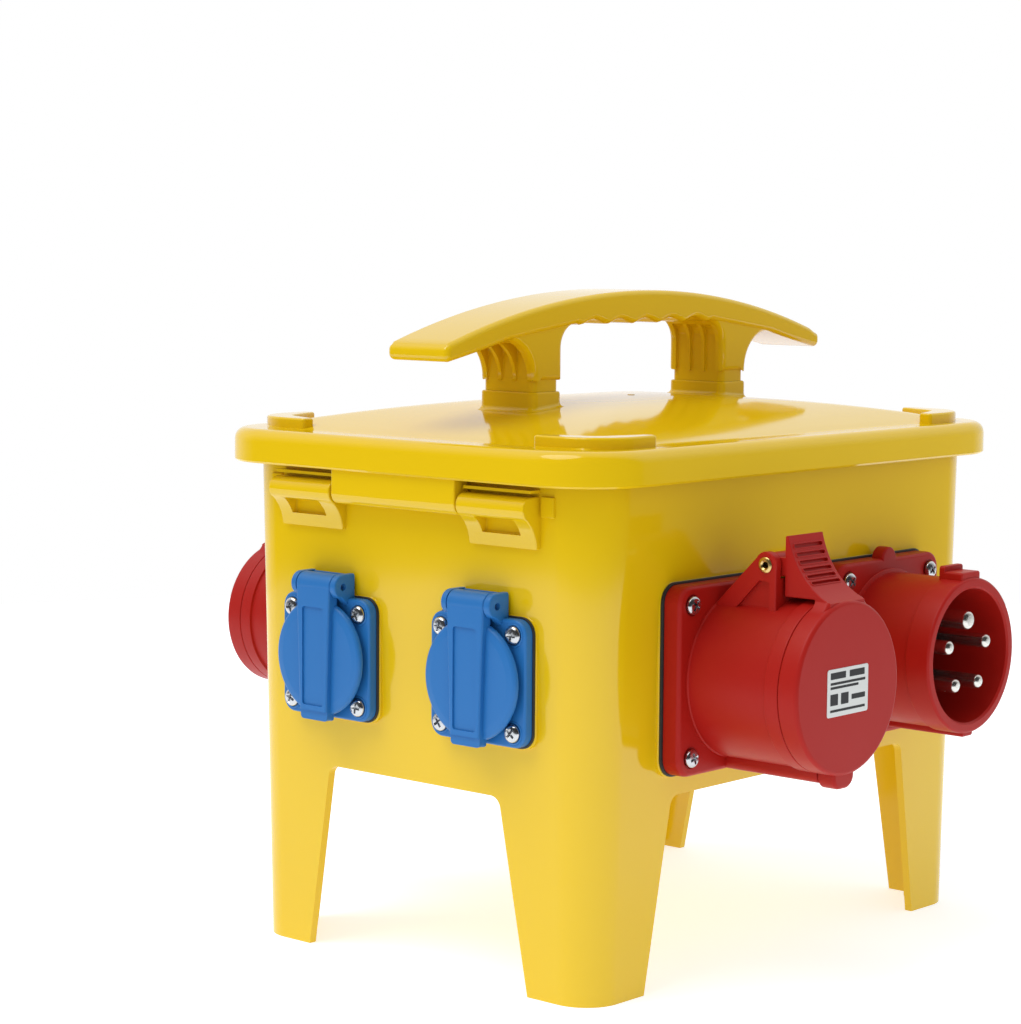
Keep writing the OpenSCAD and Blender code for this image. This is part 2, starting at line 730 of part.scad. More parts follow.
module cee_flap(cap_r) {
    color(red) difference() {
        union() {
            rotate([0, 90, 0]) rotate_extrude() polygon(concat(
                [[0, cee_front + 0.2], [cap_r, cee_front + 0.2]],
                [for (a = [0:15:90]) [cap_r - 3 + 3 * cos(a), cee_front + cee_cap_t - 3 + 3 * sin(a)]],
                [[0, cee_front + cee_cap_t]]));
            along_y(-cee_tab_hy, cee_tab_hy) polygon(tab_outline(cap_r));
            // latch nose at the bottom
            span(cee_front + 0.2, cee_front + cee_cap_t - 2, -6, 6, -cap_r - 3.5, -cap_r + 3);
            // knuckle on the pin and the web to the tab
            translate([cee_axis_x, 0, cee_axis_z]) rod_y(-cee_tab_hy, cee_tab_hy, 4.6);
            span(cee_axis_x, cee_axis_x + 8, -cee_tab_hy, cee_tab_hy, cee_axis_z - 4, cee_axis_z + 3);
        }
        // hollow inside of the cap
        rod_x(cee_front - 1, cee_front + 5.4, cap_r - 7.5);
        rod_x(cee_front - 1, cee_front + 2.4, cap_r - 3);
        translate([cee_axis_x, 0, cee_axis_z]) rod_y(-20, 20, cee_pin_r + 0.06);
        translate([cee_axis_x, 0, cee_axis_z]) rod_y(-6, 6, 3.7);
        // grip grooves
        for (i = [0:5]) translate([cee_axis_x + 8.4 + i * 1.2, 0, cee_axis_z + 9.8 - i * 2.6])
            rotate([0, 65, 0]) span(-0.6, 0.6, -8.5, 8.5, -0.6, 3);
    }
}

module cee_flap_seal(cap_r) {
    color(black) difference() {
        rod_x(cee_front, cee_front + 2.4, cap_r - 3.2);
        rod_x(cee_front - 1, cee_front + 3, cap_r - 7.5);
    }
}

module cee_flap_pin() {
    color(brass) translate([cee_axis_x, 0, cee_axis_z]) difference() {
        union() {
            rod_y(-cee_ear_out - 0.1, cee_ear_out + 0.1, cee_pin_r);
            for (s = [-1, 1]) rod_y(s > 0 ? cee_ear_out + 0.05 : -cee_ear_out - 0.9,
                                    s > 0 ? cee_ear_out + 0.9 : -cee_ear_out - 0.05, 3.1);
        }
        for (s = [-1, 1]) rod_y(s > 0 ? cee_ear_out - 1 : -cee_ear_out - 2,
                                s > 0 ? cee_ear_out + 2 : -cee_ear_out + 1, 1.3);
    }
}

module cee32_label() {
    color(grey) place_cee(1, -cee_y)
        translate([0, 0.5, -4]) rect_x(label_w / 2, label_h / 2, 1, cee_front + cee_cap_t, cee_front + cee_cap_t + 0.25);
}

module cee_flap_springs() {
    color(zinc) for (p = cee_places) place_cee(p[0], p[1])
        translate([cee_axis_x, 0, cee_axis_z]) rotate([0, 0, 90]) coil_x(-4.8, 9, 1.2, 2.9, 0.5);
}

// Side and position of the three industrial sockets
cee_places = [[1, -cee_y], [-1, -cee_y], [-1, cee_y]];

module cee_screws() {
    color(zinc) for (side = [-1, 1], y = [-cee_y, cee_y])
        place_cee(side, y) screw_spots(cee_pitch) translate([cee_flange_t, 0, 0]) screw_x(16, screw_r);
}

// ---------- inlet ----------

module inlet_housing() {
    color(red) difference() {
        union() {
            cee_flange_plate();
            // moulded bump on the flange's top edge
            translate([0, 0, cee_flange / 2 - 1]) rod_x(2, cee_flange_t, 6.5);
            rod_x(cee_flange_t - 1, 27, inlet_r - 1);
            rod_x(26, inlet_front, inlet_r);
            // locking lug on top and bead below
            span(inlet_front - 11, inlet_front - 1, -7, 7, inlet_r - 3, inlet_r + 4.6);
            span(cee_flange_t - 1, inlet_front - 1, -4, 4, -inlet_r - 1.5, -inlet_r + 2);
        }
        rod_x(1, inlet_front + 1, inlet_well_r);
        rod_x(-1, cee_floor, cee_body_r);
        screw_spots(cee_pitch) rod_x(-1, 20, screw_hole_r);
    }
}

// Pin carrier: a wide back that snaps into the floor and a narrow front in the well
module inlet_insert() {
    color(black) difference() {
        union() {
            rod_x(-cee_depth, cee_floor - insert_gap, cee_body_r - insert_gap);
            rod_x(1, insert_face, inlet_well_r - 0.05);
        }
        pin_bars(-cee_depth + 4, insert_face + 1, 0.06 - shank_step);
    }
}

module inlet_pins() {
    tip = inlet_front - 4.5;
    color(zinc) {
        pin_bars(-cee_depth + 5, insert_face + 0.5, -shank_step);
        pin_bars(insert_face, tip, 0);
        for (i = [0:4]) rotate([i * 72, 0, 0]) translate([tip, 0, pin_pcr]) {
            r = i == 0 ? earth_pin_r : phase_pin_r;
            rotate([0, 90, 0]) cylinder(h = 1.5, r1 = r, r2 = r - 1.2);
        }
    }
}

// ---------- breakers and wiring inside ----------

module din_rail() {
    h = 7.5;
    color(zinc) difference() {
        along_y(rail_y0, rail_y1) polygon([
            [-13.5, rail_z], [13.5, rail_z], [13.5, rail_z + h - 1], [rail_w / 2, rail_z + h - 1],
            [rail_w / 2, rail_z + h], [12.5, rail_z + h], [12.5, rail_z + 1], [-12.5, rail_z + 1],
            [-12.5, rail_z + h], [-rail_w / 2, rail_z + h], [-rail_w / 2, rail_z + h - 1], [-13.5, rail_z + h - 1]]);
        for (s = [-1, 1]) translate([0, s * 70, rail_z - 1]) cylinder(h = 3, r = screw_hole_r);
    }
}

module rail_screws() {
    color(zinc) for (s = [-1, 1]) translate([0, s * 70, rail_z + 1]) rotate([0, -90, 0]) screw_x(6, screw_r);
}

// Breaker body for n modules starting at y0, with a pocket for a lever of half width w
module breaker_body(y0, n, w) {
    y1 = y0 + n * module_w - 0.2;
    mid = (y0 + y1) / 2;
    notch = rail_w / 2 + 0.3;
    color(grey) difference() {
        along_y(y0, y1) polygon([
            [-mcb_hx, mcb_z0], [-notch, mcb_z0], [-notch, rail_z + 8], [notch, rail_z + 8],
            [notch, mcb_z0], [mcb_hx, mcb_z0], [mcb_hx, mcb_z1], [22, mcb_z1], [22, mcb_z2],
            [-22, mcb_z2], [-22, mcb_z1], [-mcb_hx, mcb_z1]]);
        translate([0, mid, 0]) {
            span(-12, 12, -w - 0.4, w + 0.4, lever_z - lever_r - 1, mcb_z2 + 1);
            translate([0, 0, lever_z]) rod_y(-w - 2.2, w + 2.2, axle_r + axle_gap);
        }
        // terminal screw wells
        for (i = [0:n - 1], s = [-1, 1])
            translate([s * 33, y0 + (i + 0.5) * module_w - 0.1, mcb_z1 - 6]) cylinder(h = 10, r = 3);
    }
}

module breaker_lever(y0, n, w, c) {
    mid = y0 + (n * module_w - 0.2) / 2;
    color(c) translate([0, mid, lever_z]) {
        rod_y(-w, w, lever_r);
        rod_y(-w - 2, w + 2, axle_r);
        rotate([0, lever_lean, 0]) span(-1.6, 1.6, -w + 0.5, w - 0.5, 3, 15);
    }
}

rcd_y = rail_y0 + 2;
mcb_3p_y = rcd_y + 4 * module_w;
mcb_a_y = mcb_3p_y + 3 * module_w;
mcb_b_y = mcb_a_y + module_w;
button_y = rcd_y + 12;

module rcd_body() {
    difference() {
        breaker_body(rcd_y, 4, 7);
        span(-button_w / 2 - 0.3, button_w / 2 + 0.3, button_y - button_w / 2 - 0.3, button_y + button_w / 2 + 0.3,
             mcb_z2 - 9, mcb_z2 + 1);
    }
}

module rcd_test_button() {
    color(black) span(-button_w / 2, button_w / 2, button_y - button_w / 2, button_y + button_w / 2,
                      mcb_z2 - 6.5, mcb_z2 + 2);
}

module terminal_block() {
    color(grey) difference() {
        span(-33, 33, 98, 116, floor_top, floor_top + 24);
        for (i = [-2:2]) {
            translate([i * 12, 107, floor_top + 14]) cylinder(h = 12, r = 3);
            translate([i * 12, 0, floor_top + 9]) rod_y(97, 117, 2.6);
        }
    }
}

// Unit vector and the ring frame used to sweep a cable
function unit(v) = v / norm(v);
function side_of(d) = abs(d[2]) > 0.9 ? [1, 0, 0] : unit(cross(d, [0, 0, 1]));
function direction(p, i) = unit(p[min(i + 1, len(p) - 1)] - p[max(i - 1, 0)]);
function ring(p, i, r, n) = let (d = direction(p, i), u = unit(side_of(d) - d * (side_of(d) * d)), v = cross(d, u))
    [for (k = [0:n - 1]) p[i] + r * (u * cos(k * 360 / n) + v * sin(k * 360 / n))];

module cable(p, r, n = 8) {
    m = len(p);
    polyhedron(
        points = [for (i = [0:m - 1]) each ring(p, i, r, n)],
        faces = concat(
            [[for (k = [0:n - 1]) k]],
            [for (i = [0:m - 2], k = [0:n - 1])
                [i * n + k, (i + 1) * n + k, (i + 1) * n + (k + 1) % n, i * n + (k + 1) % n]],
            [[for (k = [n - 1:-1:0]) (m - 1) * n + k]]),
        convexity = 6);
}

// Points of a bend-smoothed path through corners
function smooth(p, steps) = [for (i = [0:len(p) - 2], t = [0:steps - 1])
    let (u = t / steps, a = p[max(i - 1, 0)], b = p[i], c = p[i + 1], d = p[min(i + 2, len(p) - 1)])
    0.5 * (2 * b + (c - a) * u + (2 * a - 5 * b + 4 * c - d) * u * u + (3 * b - a - 3 * c + d) * u * u * u)];

module wiring() {
    rear = cee_face - cee_depth - 2.5;
    run_x = 53;
    color(black) {
        // inlet to the terminal block
        cable(smooth([[rear, cee_y, cee_z], [run_x + 4, cee_y, cee_z], [run_x, cee_y + 6, cee_z - 14],
                      [run_x, cee_y + 22, cee_z - 26], [46, 105, 100], [34, 107, 97], [33.5, 107, 97]], 4), 4.4);
        // large socket along the side to the residual current device
        cable(smooth([[rear, -cee_y, cee_z], [run_x + 4, -cee_y, cee_z], [run_x, -cee_y + 8, cee_z - 12],
                      [run_x - 1, -cee_y + 22, cee_z - 10], [run_x - 3, -cee_y + 30, cee_z - 4],
                      [mcb_hx + 0.5, -cee_y + 32, cee_z - 2]], 4), 4.4);
        // small sockets to the three-pole breaker
        cable(smooth([[-rear, -cee_y, cee_z], [-run_x - 4, -cee_y, cee_z], [-run_x, -cee_y + 10, cee_z - 14],
                      [-run_x, -6, cee_z - 16], [-run_x + 3, 0, cee_z - 8], [-mcb_hx - 0.5, 2, cee_z - 4]], 4), 3.6);
        cable(smooth([[-rear, cee_y, cee_z], [-run_x - 4, cee_y, cee_z], [-run_x, cee_y - 8, cee_z + 8],
                      [-run_x + 2, 30, cee_z + 6], [-mcb_hx - 0.5, 26, cee_z]], 4), 3.6);
    }
}

// ---------- assembly ----------

module left_schuko() { place_schuko(-schuko_x) children(); }
module right_schuko() { place_schuko(schuko_x) children(); }
module cee32() { place_cee(1, -cee_y) children(); }
module cee16_front() { place_cee(-1, -cee_y) children(); }
module cee16_rear() { place_cee(-1, cee_y) children(); }
module inlet() { place_cee(1, cee_y) children(); }

body_shell();
lid_hinge_pin();
lid_lock_screws();
left_schuko() schuko_housing();  // schuko_left_housing
left_schuko() schuko_gasket();  // schuko_left_gasket
left_schuko() schuko_flap();  // schuko_left_flap
left_schuko() schuko_flap_seal();  // schuko_left_flap_seal
left_schuko() schuko_flap_pin();  // schuko_left_flap_pin
right_schuko() schuko_housing();  // schuko_right_housing
right_schuko() schuko_gasket();  // schuko_right_gasket
right_schuko() schuko_flap();  // schuko_right_flap
right_schuko() schuko_flap_seal();  // schuko_right_flap_seal
right_schuko() schuko_flap_pin();  // schuko_right_flap_pin
schuko_contacts();
schuko_flap_springs();
schuko_screws();
cee32() cee_housing(cee32_cap_r);  // cee32_housing
cee32() cee_insert();  // cee32_insert
cee32() cee_gasket();  // cee32_gasket
cee32() cee_flap(cee32_cap_r);  // cee32_flap
cee32() cee_flap_seal(cee32_cap_r);  // cee32_flap_seal
cee32() cee_flap_pin();  // cee32_flap_pin
cee32_label();
cee16_front() cee_housing(cee16_cap_r);  // cee16_front_housing
cee16_front() cee_insert();  // cee16_front_insert
cee16_front() cee_gasket();  // cee16_front_gasket
cee16_front() cee_flap(cee16_cap_r);  // cee16_front_flap
cee16_front() cee_flap_seal(cee16_cap_r);  // cee16_front_flap_seal
cee16_front() cee_flap_pin();  // cee16_front_flap_pin
cee16_rear() cee_housing(cee16_cap_r);  // cee16_rear_housing
cee16_rear() cee_insert();  // cee16_rear_insert
cee16_rear() cee_gasket();  // cee16_rear_gasket
cee16_rear() cee_flap(cee16_cap_r);  // cee16_rear_flap
cee16_rear() cee_flap_seal(cee16_cap_r);  // cee16_rear_flap_seal
cee16_rear() cee_flap_pin();  // cee16_rear_flap_pin
cee_contacts();
cee_flap_springs();
cee_screws();
inlet() inlet_housing();
inlet() inlet_insert();
inlet() inlet_pins();
inlet() cee_gasket();  // inlet_gasket
din_rail();
rail_screws();
rcd_body();
breaker_lever(rcd_y, 4, 7, blue);  // rcd_lever
rcd_test_button();
breaker_body(mcb_3p_y, 3, 12);  // mcb_3p_body
breaker_lever(mcb_3p_y, 3, 12, black);  // mcb_3p_lever
breaker_body(mcb_a_y, 1, 4.5);  // mcb_a_body
breaker_lever(mcb_a_y, 1, 4.5, black);  // mcb_a_lever
breaker_body(mcb_b_y, 1, 4.5);  // mcb_b_body
breaker_lever(mcb_b_y, 1, 4.5, black);  // mcb_b_lever
terminal_block();
wiring();
lid_shell();
lid_seal();
handle();
handle_screws();
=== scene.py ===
# Looks of a portable power distribution box. Each sub-part is modelled in millimetres,
# in its own frame or in the row frame, and is turned into metres when it is placed.
import json
import math

import bmesh
import bpy
from mathutils import Matrix, Vector


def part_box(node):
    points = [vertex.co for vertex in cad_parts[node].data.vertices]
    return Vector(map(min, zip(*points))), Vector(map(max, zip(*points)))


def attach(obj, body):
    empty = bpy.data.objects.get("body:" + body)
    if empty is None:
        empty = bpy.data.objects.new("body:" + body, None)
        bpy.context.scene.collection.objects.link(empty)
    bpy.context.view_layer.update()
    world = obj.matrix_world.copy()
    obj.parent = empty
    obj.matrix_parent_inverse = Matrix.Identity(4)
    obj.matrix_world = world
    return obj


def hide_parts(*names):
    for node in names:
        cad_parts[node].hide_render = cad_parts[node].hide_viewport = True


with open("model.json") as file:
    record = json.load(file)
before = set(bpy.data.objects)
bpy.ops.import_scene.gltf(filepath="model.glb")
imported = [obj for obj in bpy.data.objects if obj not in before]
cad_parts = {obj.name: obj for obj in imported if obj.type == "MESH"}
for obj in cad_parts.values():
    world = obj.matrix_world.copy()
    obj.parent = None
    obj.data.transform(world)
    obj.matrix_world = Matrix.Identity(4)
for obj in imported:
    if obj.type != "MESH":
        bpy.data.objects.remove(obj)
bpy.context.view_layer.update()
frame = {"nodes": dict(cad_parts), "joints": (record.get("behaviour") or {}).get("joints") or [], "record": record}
MM = 0.001
SHARP_ANGLE = 38


# ---------- frame ----------

def box(node):
    """Lowest and highest corners of a CAD node in millimetres."""
    low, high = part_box(node)
    return low / MM, high / MM


CEE_FLANGE = 37.5
SCHUKO_FLANGE = 25
cee32_low, cee32_high = box("cee32_housing")
CEE_FACE = cee32_low.x
CEE_Z = cee32_low.z + CEE_FLANGE
CEE_Y = -(cee32_low.y + cee32_high.y) / 2
schuko_low, schuko_high = box("schuko_right_housing")
SCHUKO_FACE = -box("schuko_right_gasket")[0].y
SCHUKO_X = (schuko_low.x + schuko_high.x) / 2
SCHUKO_Z = schuko_low.z + SCHUKO_FLANGE
lid_high = box("lid_shell")[1]
tub_high = box("body_shell")[1]
handle_low, handle_high = box("handle")


# ---------- outlines ----------

def arc(u, v, r, start, end, steps=8):
    """Points of an arc about (u, v), angles in degrees."""
    angles = [math.radians(start + (end - start) * i / steps) for i in range(steps + 1)]
    return [(u + r * math.cos(a), v + r * math.sin(a)) for a in angles]


def bezier(a, b, c, steps=8):
    """Points of a quadratic curve from a to c that leans towards b."""
    points = []
    for i in range(steps + 1):
        t = i / steps
        p, q, r = (1 - t) ** 2, 2 * t * (1 - t), t * t
        points.append((p * a[0] + q * b[0] + r * c[0], p * a[1] + q * b[1] + r * c[1]))
    return points


def rounded(corners, steps=5):
    """Closed outline from corners (u, v, radius)."""
    points = []
    for i, (u, v, r) in enumerate(corners):
        here = Vector((u, v))
        if r == 0:
            points.append((u, v))
            continue
        before = (Vector(corners[i - 1][:2]) - here).normalized()
        after = (Vector(corners[(i + 1) % len(corners)][:2]) - here).normalized()
        half = before.angle(after) / 2
        centre = here + (before + after).normalized() * (r / math.sin(half))
        first = here + before * (r / math.tan(half)) - centre
        last = here + after * (r / math.tan(half)) - centre
        start = math.atan2(first.y, first.x)
        turn = (math.atan2(last.y, last.x) - start + math.pi) % (2 * math.pi) - math.pi
        for k in range(steps + 1):
            a = start + turn * k / steps
            points.append((centre.x + r * math.cos(a), centre.y + r * math.sin(a)))
    return points


def rectangle(u0, u1, v0, v1, r=0.0, steps=4):
    """Outline of a rectangle with rounded corners."""
    return rounded([(u0, v0, r), (u1, v0, r), (u1, v1, r), (u0, v1, r)], steps)


def round_rect(hu, hv, r, corner=8, side=0):
    """Rounded rectangle about the origin with points along its straight sides."""
    points = []
    centres = [(hu - r, hv - r, 0), (r - hu, hv - r, 90), (r - hu, r - hv, 180), (hu - r, r - hv, 270)]
    for i, (u, v, start) in enumerate(centres):
        points += arc(u, v, r, start, start + 90, corner)
        nu, nv, angle = centres[(i + 1) % 4]
        a = Vector(points[-1])
        b = Vector((nu + r * math.cos(math.radians(angle)), nv + r * math.sin(math.radians(angle))))
        points += [tuple(a.lerp(b, (k + 1) / (side + 1))) for k in range(side)]
    return points


def inset(outline, distance):
    """The outline moved inwards, corner by corner."""
    if distance == 0:
        return list(outline)
    points = []
    for i, p in enumerate(outline):
        back = (Vector(p) - Vector(outline[i - 1])).normalized()
        ahead = (Vector(outline[(i + 1) % len(outline)]) - Vector(p)).normalized()
        inward = Vector((-back.y - ahead.y, back.x + ahead.x)) / (1 + back.dot(ahead))
        points.append((p[0] + inward.x * distance, p[1] + inward.y * distance))
    return points


def counter_clockwise(outline):
    area = sum(a[0] * b[1] - b[0] * a[1] for a, b in zip(outline, outline[1:] + outline[:1]))
    return outline if area > 0 else outline[::-1]


# ---------- solids ----------

def solid(verts, faces):
    """Closed mesh with its faces turned outwards."""
    bm = bmesh.new()
    made = [bm.verts.new(v) for v in verts]
    for face in faces:
        bm.faces.new([made[i] for i in face])
    bmesh.ops.remove_doubles(bm, verts=bm.verts, dist=1e-4)
    bmesh.ops.recalc_face_normals(bm, faces=bm.faces)
    mesh = bpy.data.meshes.new("solid")
    bm.to_mesh(mesh)
    bm.free()
    return mesh


def loft(rings, closed=False):
    """Skin through rings of equal length: capped at both ends, or joined last to first."""
    count = len(rings[0])
    faces = []
    for i in range(len(rings) if closed else len(rings) - 1):
        a, b = i * count, (i + 1) % len(rings) * count
        faces += [(a + k, a + (k + 1) % count, b + (k + 1) % count, b + k) for k in range(count)]
    if not closed:
        faces += [tuple(range(count)), tuple(range((len(rings) - 1) * count, len(rings) * count))]
    return solid([p for ring in rings for p in ring], faces)


def on_axis(axis, u, v, w):
    return {"x": (w, u, v), "y": (u, w, v), "z": (u, v, w)}[axis]


def prism(outline, axis, low, high, low_edge=0.0, high_edge=0.0, steps=3):
    """Outline pushed along an axis, with rounded edges at its ends."""
    outline = counter_clockwise(outline)
    levels = []
    for k in range(steps + 1 if low_edge else 1):
        a = math.radians(90 * k / steps) if low_edge else math.pi / 2
        levels.append((low_edge * (1 - math.sin(a)), low + low_edge * (1 - math.cos(a))))
    for k in range(steps + 1 if high_edge else 1):
        a = math.radians(90 * k / steps) if high_edge else 0
        levels.append((high_edge * (1 - math.cos(a)), high - high_edge * (1 - math.sin(a))))
    return loft([[on_axis(axis, u, v, w) for u, v in inset(outline, d)] for d, w in levels])


def block(x0, x1, y0, y1, z0, z1, r=0.0, edge=0.0):
    """Upright box with rounded corners and softened ends."""
    return prism(rectangle(x0, x1, y0, y1, r), "z", z0, z1, edge, edge)


def lathe(profile, axis, segments=96, u=0.0, v=0.0):
    """Closed profile of (along, radius) points turned about a line through (u, v)."""
    rings = []
    for i in range(segments):
        a = 2 * math.pi * i / segments
        rings.append([on_axis(axis, u + r * math.cos(a), v + r * math.sin(a), w) for w, r in profile])
    return loft(rings, closed=True)


def rod(axis, low, high, radius, u=0.0, v=0.0, edge=0.0, segments=48):
    """Round bar with softened ends."""
    corners = [(low, 0, 0), (low, radius, edge), (high, radius, edge), (high, 0, 0)]
    return lathe(rounded(corners, 3), axis, segments, u, v)


def sweep(path, radius, sides=12):
    """Round wire along a path of points."""
    points = [Vector(p) for p in path]
    normal = None
    rings = []
    for i, p in enumerate(points):
        along = (points[min(i + 1, len(points) - 1)] - points[max(i - 1, 0)]).normalized()
        if normal is None:
            normal = along.orthogonal().normalized()
        normal = (normal - along * normal.dot(along)).normalized()
        other = along.cross(normal)
        angles = [2 * math.pi * k / sides for k in range(sides)]
        rings.append([p + radius * (normal * math.cos(a) + other * math.sin(a)) for a in angles])
    return loft(rings)


def placed(name, data):
    """New object in the scene."""
    thing = bpy.data.objects.new(name, data)
    bpy.context.scene.collection.objects.link(thing)
    return thing


def moved(mesh, matrix):
    """Copy of a mesh in a new place."""
    copy = mesh.copy()
    copy.transform(matrix)
    return copy


def shift(x=0.0, y=0.0, z=0.0):
    return Matrix.Translation((x, y, z))


def turn(degrees, axis):
    return Matrix.Rotation(math.radians(degrees), 4, axis)


def mirrored(mesh, axis):
    """Copy of a mesh on the other side of the origin along an axis."""
    copy = moved(mesh, Matrix.Scale(-1, 4, axis))
    copy.flip_normals()
    return copy


X, Y = Vector((1, 0, 0)), Vector((0, 1, 0))


def both_sides(mesh, axis=X):
    return [mesh, mirrored(mesh, axis)]


def combine(base, tools, operation):
    """The base with every tool joined to it or cut from it."""
    things = [placed("work", mesh) for mesh in [base] + list(tools)]
    for tool in things[1:]:
        modifier = things[0].modifiers.new("work", "BOOLEAN")
        modifier.operation = operation
        modifier.object = tool
        modifier.solver = "MANIFOLD"
    graph = bpy.context.evaluated_depsgraph_get()
    result = bpy.data.meshes.new_from_object(things[0].evaluated_get(graph))
    for thing in things:
        bpy.data.objects.remove(thing)
    return result


def join(base, *tools):
    return combine(base, tools, "UNION")


def cut(base, *tools):
    return combine(base, tools, "DIFFERENCE")


def merge(meshes):
    """Several separate solids as one mesh."""
    bm = bmesh.new()
    for mesh in meshes:
        bm.from_mesh(mesh)
    whole = bpy.data.meshes.new("merged")
    bm.to_mesh(whole)
    bm.free()
    return whole


def soften(mesh, radius, chosen, angle=50):
    """Rounds the chosen sharp edges of a mesh."""
    bm = bmesh.new()
    bm.from_mesh(mesh)
    limit = math.radians(angle)
    edges = [e for e in bm.edges if len(e.link_faces) == 2 and e.calc_face_angle(0) > limit
             and chosen(e.verts[0].co) and chosen(e.verts[1].co)]
    bmesh.ops.bevel(bm, geom=edges, offset=radius, offset_type="OFFSET", segments=2,
                    profile=0.5, affect="EDGES", clamp_overlap=True)
    bm.to_mesh(mesh)
    bm.free()
    return mesh


# ---------- materials ----------

class Nodes:
    """Short hand for building a material's node tree."""

    def __init__(self, name):
        self.material = bpy.data.materials.new(name)
        self.material.use_nodes = True
        self.tree = self.material.node_tree
        self.shader = self.tree.nodes["Principled BSDF"]
        self.place = self.add("ShaderNodeTexCoord").outputs["Object"]

    def add(self, kind, **inputs):
        node = self.tree.nodes.new(kind)
        for name, value in inputs.items():
            self.feed(node, name.replace("_", " "), value)
        return node

    def feed(self, node, name, value):
        if isinstance(value, bpy.types.NodeSocket):
            self.tree.links.new(value, node.inputs[name])
        else:
            node.inputs[name].default_value = value

    def look(self, name, value):
        self.feed(self.shader, name, value)

    def noise(self, scale, detail=3.0, roughness=0.5):
        node = self.add("ShaderNodeTexNoise", Vector=self.place, Scale=scale, Detail=detail,
                        Roughness=roughness)
        return node.outputs["Fac"]

    def between(self, factor, low, high):
        """Factor 0..1 spread over low..high."""
        node = self.add("ShaderNodeMapRange", Value=factor, To_Min=low, To_Max=high)
        return node.outputs["Result"]

    def blend(self, factor, first, second):
        node = self.add("ShaderNodeMix")
        node.data_type = "RGBA"
        self.tree.links.new(factor, node.inputs[0])
        node.inputs[6].default_value = (*first, 1)
        node.inputs[7].default_value = (*second, 1)
        return node.outputs[2]

    def bump(self, height, strength, distance):
        node = self.add("ShaderNodeBump", Height=height, Strength=strength, Distance=distance)
        return node.outputs["Normal"]


def shade(colour, factor):
    return tuple(c * factor for c in colour)


def plastic(name, colour, gloss, spread, grain=0.0, grain_scale=2500.0, sheen=0.3):
    """Moulded plastic: slow flow marks in the colour, uneven gloss, fine eroded grain."""
    n = Nodes(name)
    flow = n.noise(9.0, 2.0)
    n.look("Base Color", n.blend(n.between(flow, 0, 1), shade(colour, 0.95), shade(colour, 1.04)))
    haze = n.noise(55.0, 4.0)
    n.look("Roughness", n.between(haze, gloss - spread, gloss + spread))
    n.look("IOR", 1.5)
    n.look("Specular IOR Level", sheen)
    fine = n.noise(grain_scale, 2.0)
    n.look("Normal", n.bump(fine, grain, 0.00005))
    return n.material


def metal(name, colour, gloss, streak=350.0):
    """Plated metal with faint drawn streaks and uneven gloss."""
    n = Nodes(name)
    stain = n.noise(streak, 3.0)
    n.look("Base Color", n.blend(stain, shade(colour, 0.86), shade(colour, 1.05)))
    n.look("Metallic", 1.0)
    n.look("Roughness", n.between(n.noise(700.0), gloss - 0.04, gloss + 0.06))
    n.look("Normal", n.bump(n.noise(1800.0), 0.03, 0.00005))
    return n.material


def rubber(name, colour, gloss):
    """Dull rubber or sheath with fine pores and a dusty sheen."""
    n = Nodes(name)
    n.look("Base Color", n.blend(n.noise(60.0), shade(colour, 0.7), shade(colour, 1.5)))
    n.look("Roughness", n.between(n.noise(300.0), gloss - 0.08, gloss + 0.08))
    n.look("Sheen Weight", 0.15)
    n.look("Normal", n.bump(n.noise(2600.0, 4.0), 0.4, 0.0001))
    return n.material


def film(name, colour):
    """Printed foil: smooth, with a brushed sheen across it."""
    n = Nodes(name)
    stretch = n.add("ShaderNodeMapping", Vector=n.place)
    stretch.inputs["Scale"].default_value = (1, 40, 900)
    brushed = n.add("ShaderNodeTexNoise", Vector=stretch.outputs["Vector"], Scale=3.0).outputs["Fac"]
    n.look("Base Color", n.blend(brushed, shade(colour, 0.93), shade(colour, 1.05)))
    n.look("Metallic", 0.35)
    n.look("Roughness", n.between(brushed, 0.32, 0.45))
    return n.material


YELLOW = (0.80, 0.525, 0.005)
RED = (0.40, 0.010, 0.006)
BLUE = (0.020, 0.16, 0.46)
materials = {
    "yellow_plastic": plastic("yellow_plastic", YELLOW, 0.09, 0.015, 0.03, 1500.0, 0.5),
    "red_plastic": plastic("red_plastic", RED, 0.40, 0.05, 0.30, 2500.0, 0.2),
    "blue_plastic": plastic("blue_plastic", BLUE, 0.36, 0.05, 0.25),
    "grey_plastic": plastic("grey_plastic", (0.62, 0.62, 0.60), 0.45, 0.05, 0.3),
    "black_plastic": plastic("black_plastic", (0.016, 0.016, 0.017), 0.42, 0.05, 0.35),
    "black_rubber": rubber("black_rubber", (0.012, 0.012, 0.012), 0.6),
    "cable_jacket": rubber("cable_jacket", (0.016, 0.016, 0.017), 0.48),
    "zinc_steel": metal("zinc_steel", (0.62, 0.63, 0.65), 0.2),
    "nickel_plate": metal("nickel_plate", (0.76, 0.74, 0.69), 0.24),
    "brass": metal("brass", (0.78, 0.55, 0.22), 0.28),
    "label_film": film("label_film", (0.70, 0.71, 0.69)),
}


# ---------- pieces ----------

def piece(name, mesh, body, slot, nodes=(), place=None):
    """Puts a finished solid in the scene: metres, smooth shading, finish, body."""
    if place is not None:
        mesh = moved(mesh, place)
    mesh.transform(Matrix.Scale(MM, 4))
    mesh.shade_smooth()
    mesh.set_sharp_from_angle(angle=math.radians(SHARP_ANGLE))
    thing = placed(name, mesh)
    mesh.materials.clear()
    mesh.materials.append(materials[slot])
    modifier = thing.modifiers.new("normals", "WEIGHTED_NORMAL")
    modifier.keep_sharp = True
    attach(thing, body)
    if nodes:
        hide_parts(*nodes)
    return thing


# ---------- tub ----------

def joint_at(name):
    """A joint's pivot in millimetres."""
    found = [j for j in frame["joints"] if j["name"] == name]
    return Vector(found[0]["pos_m"]) / MM


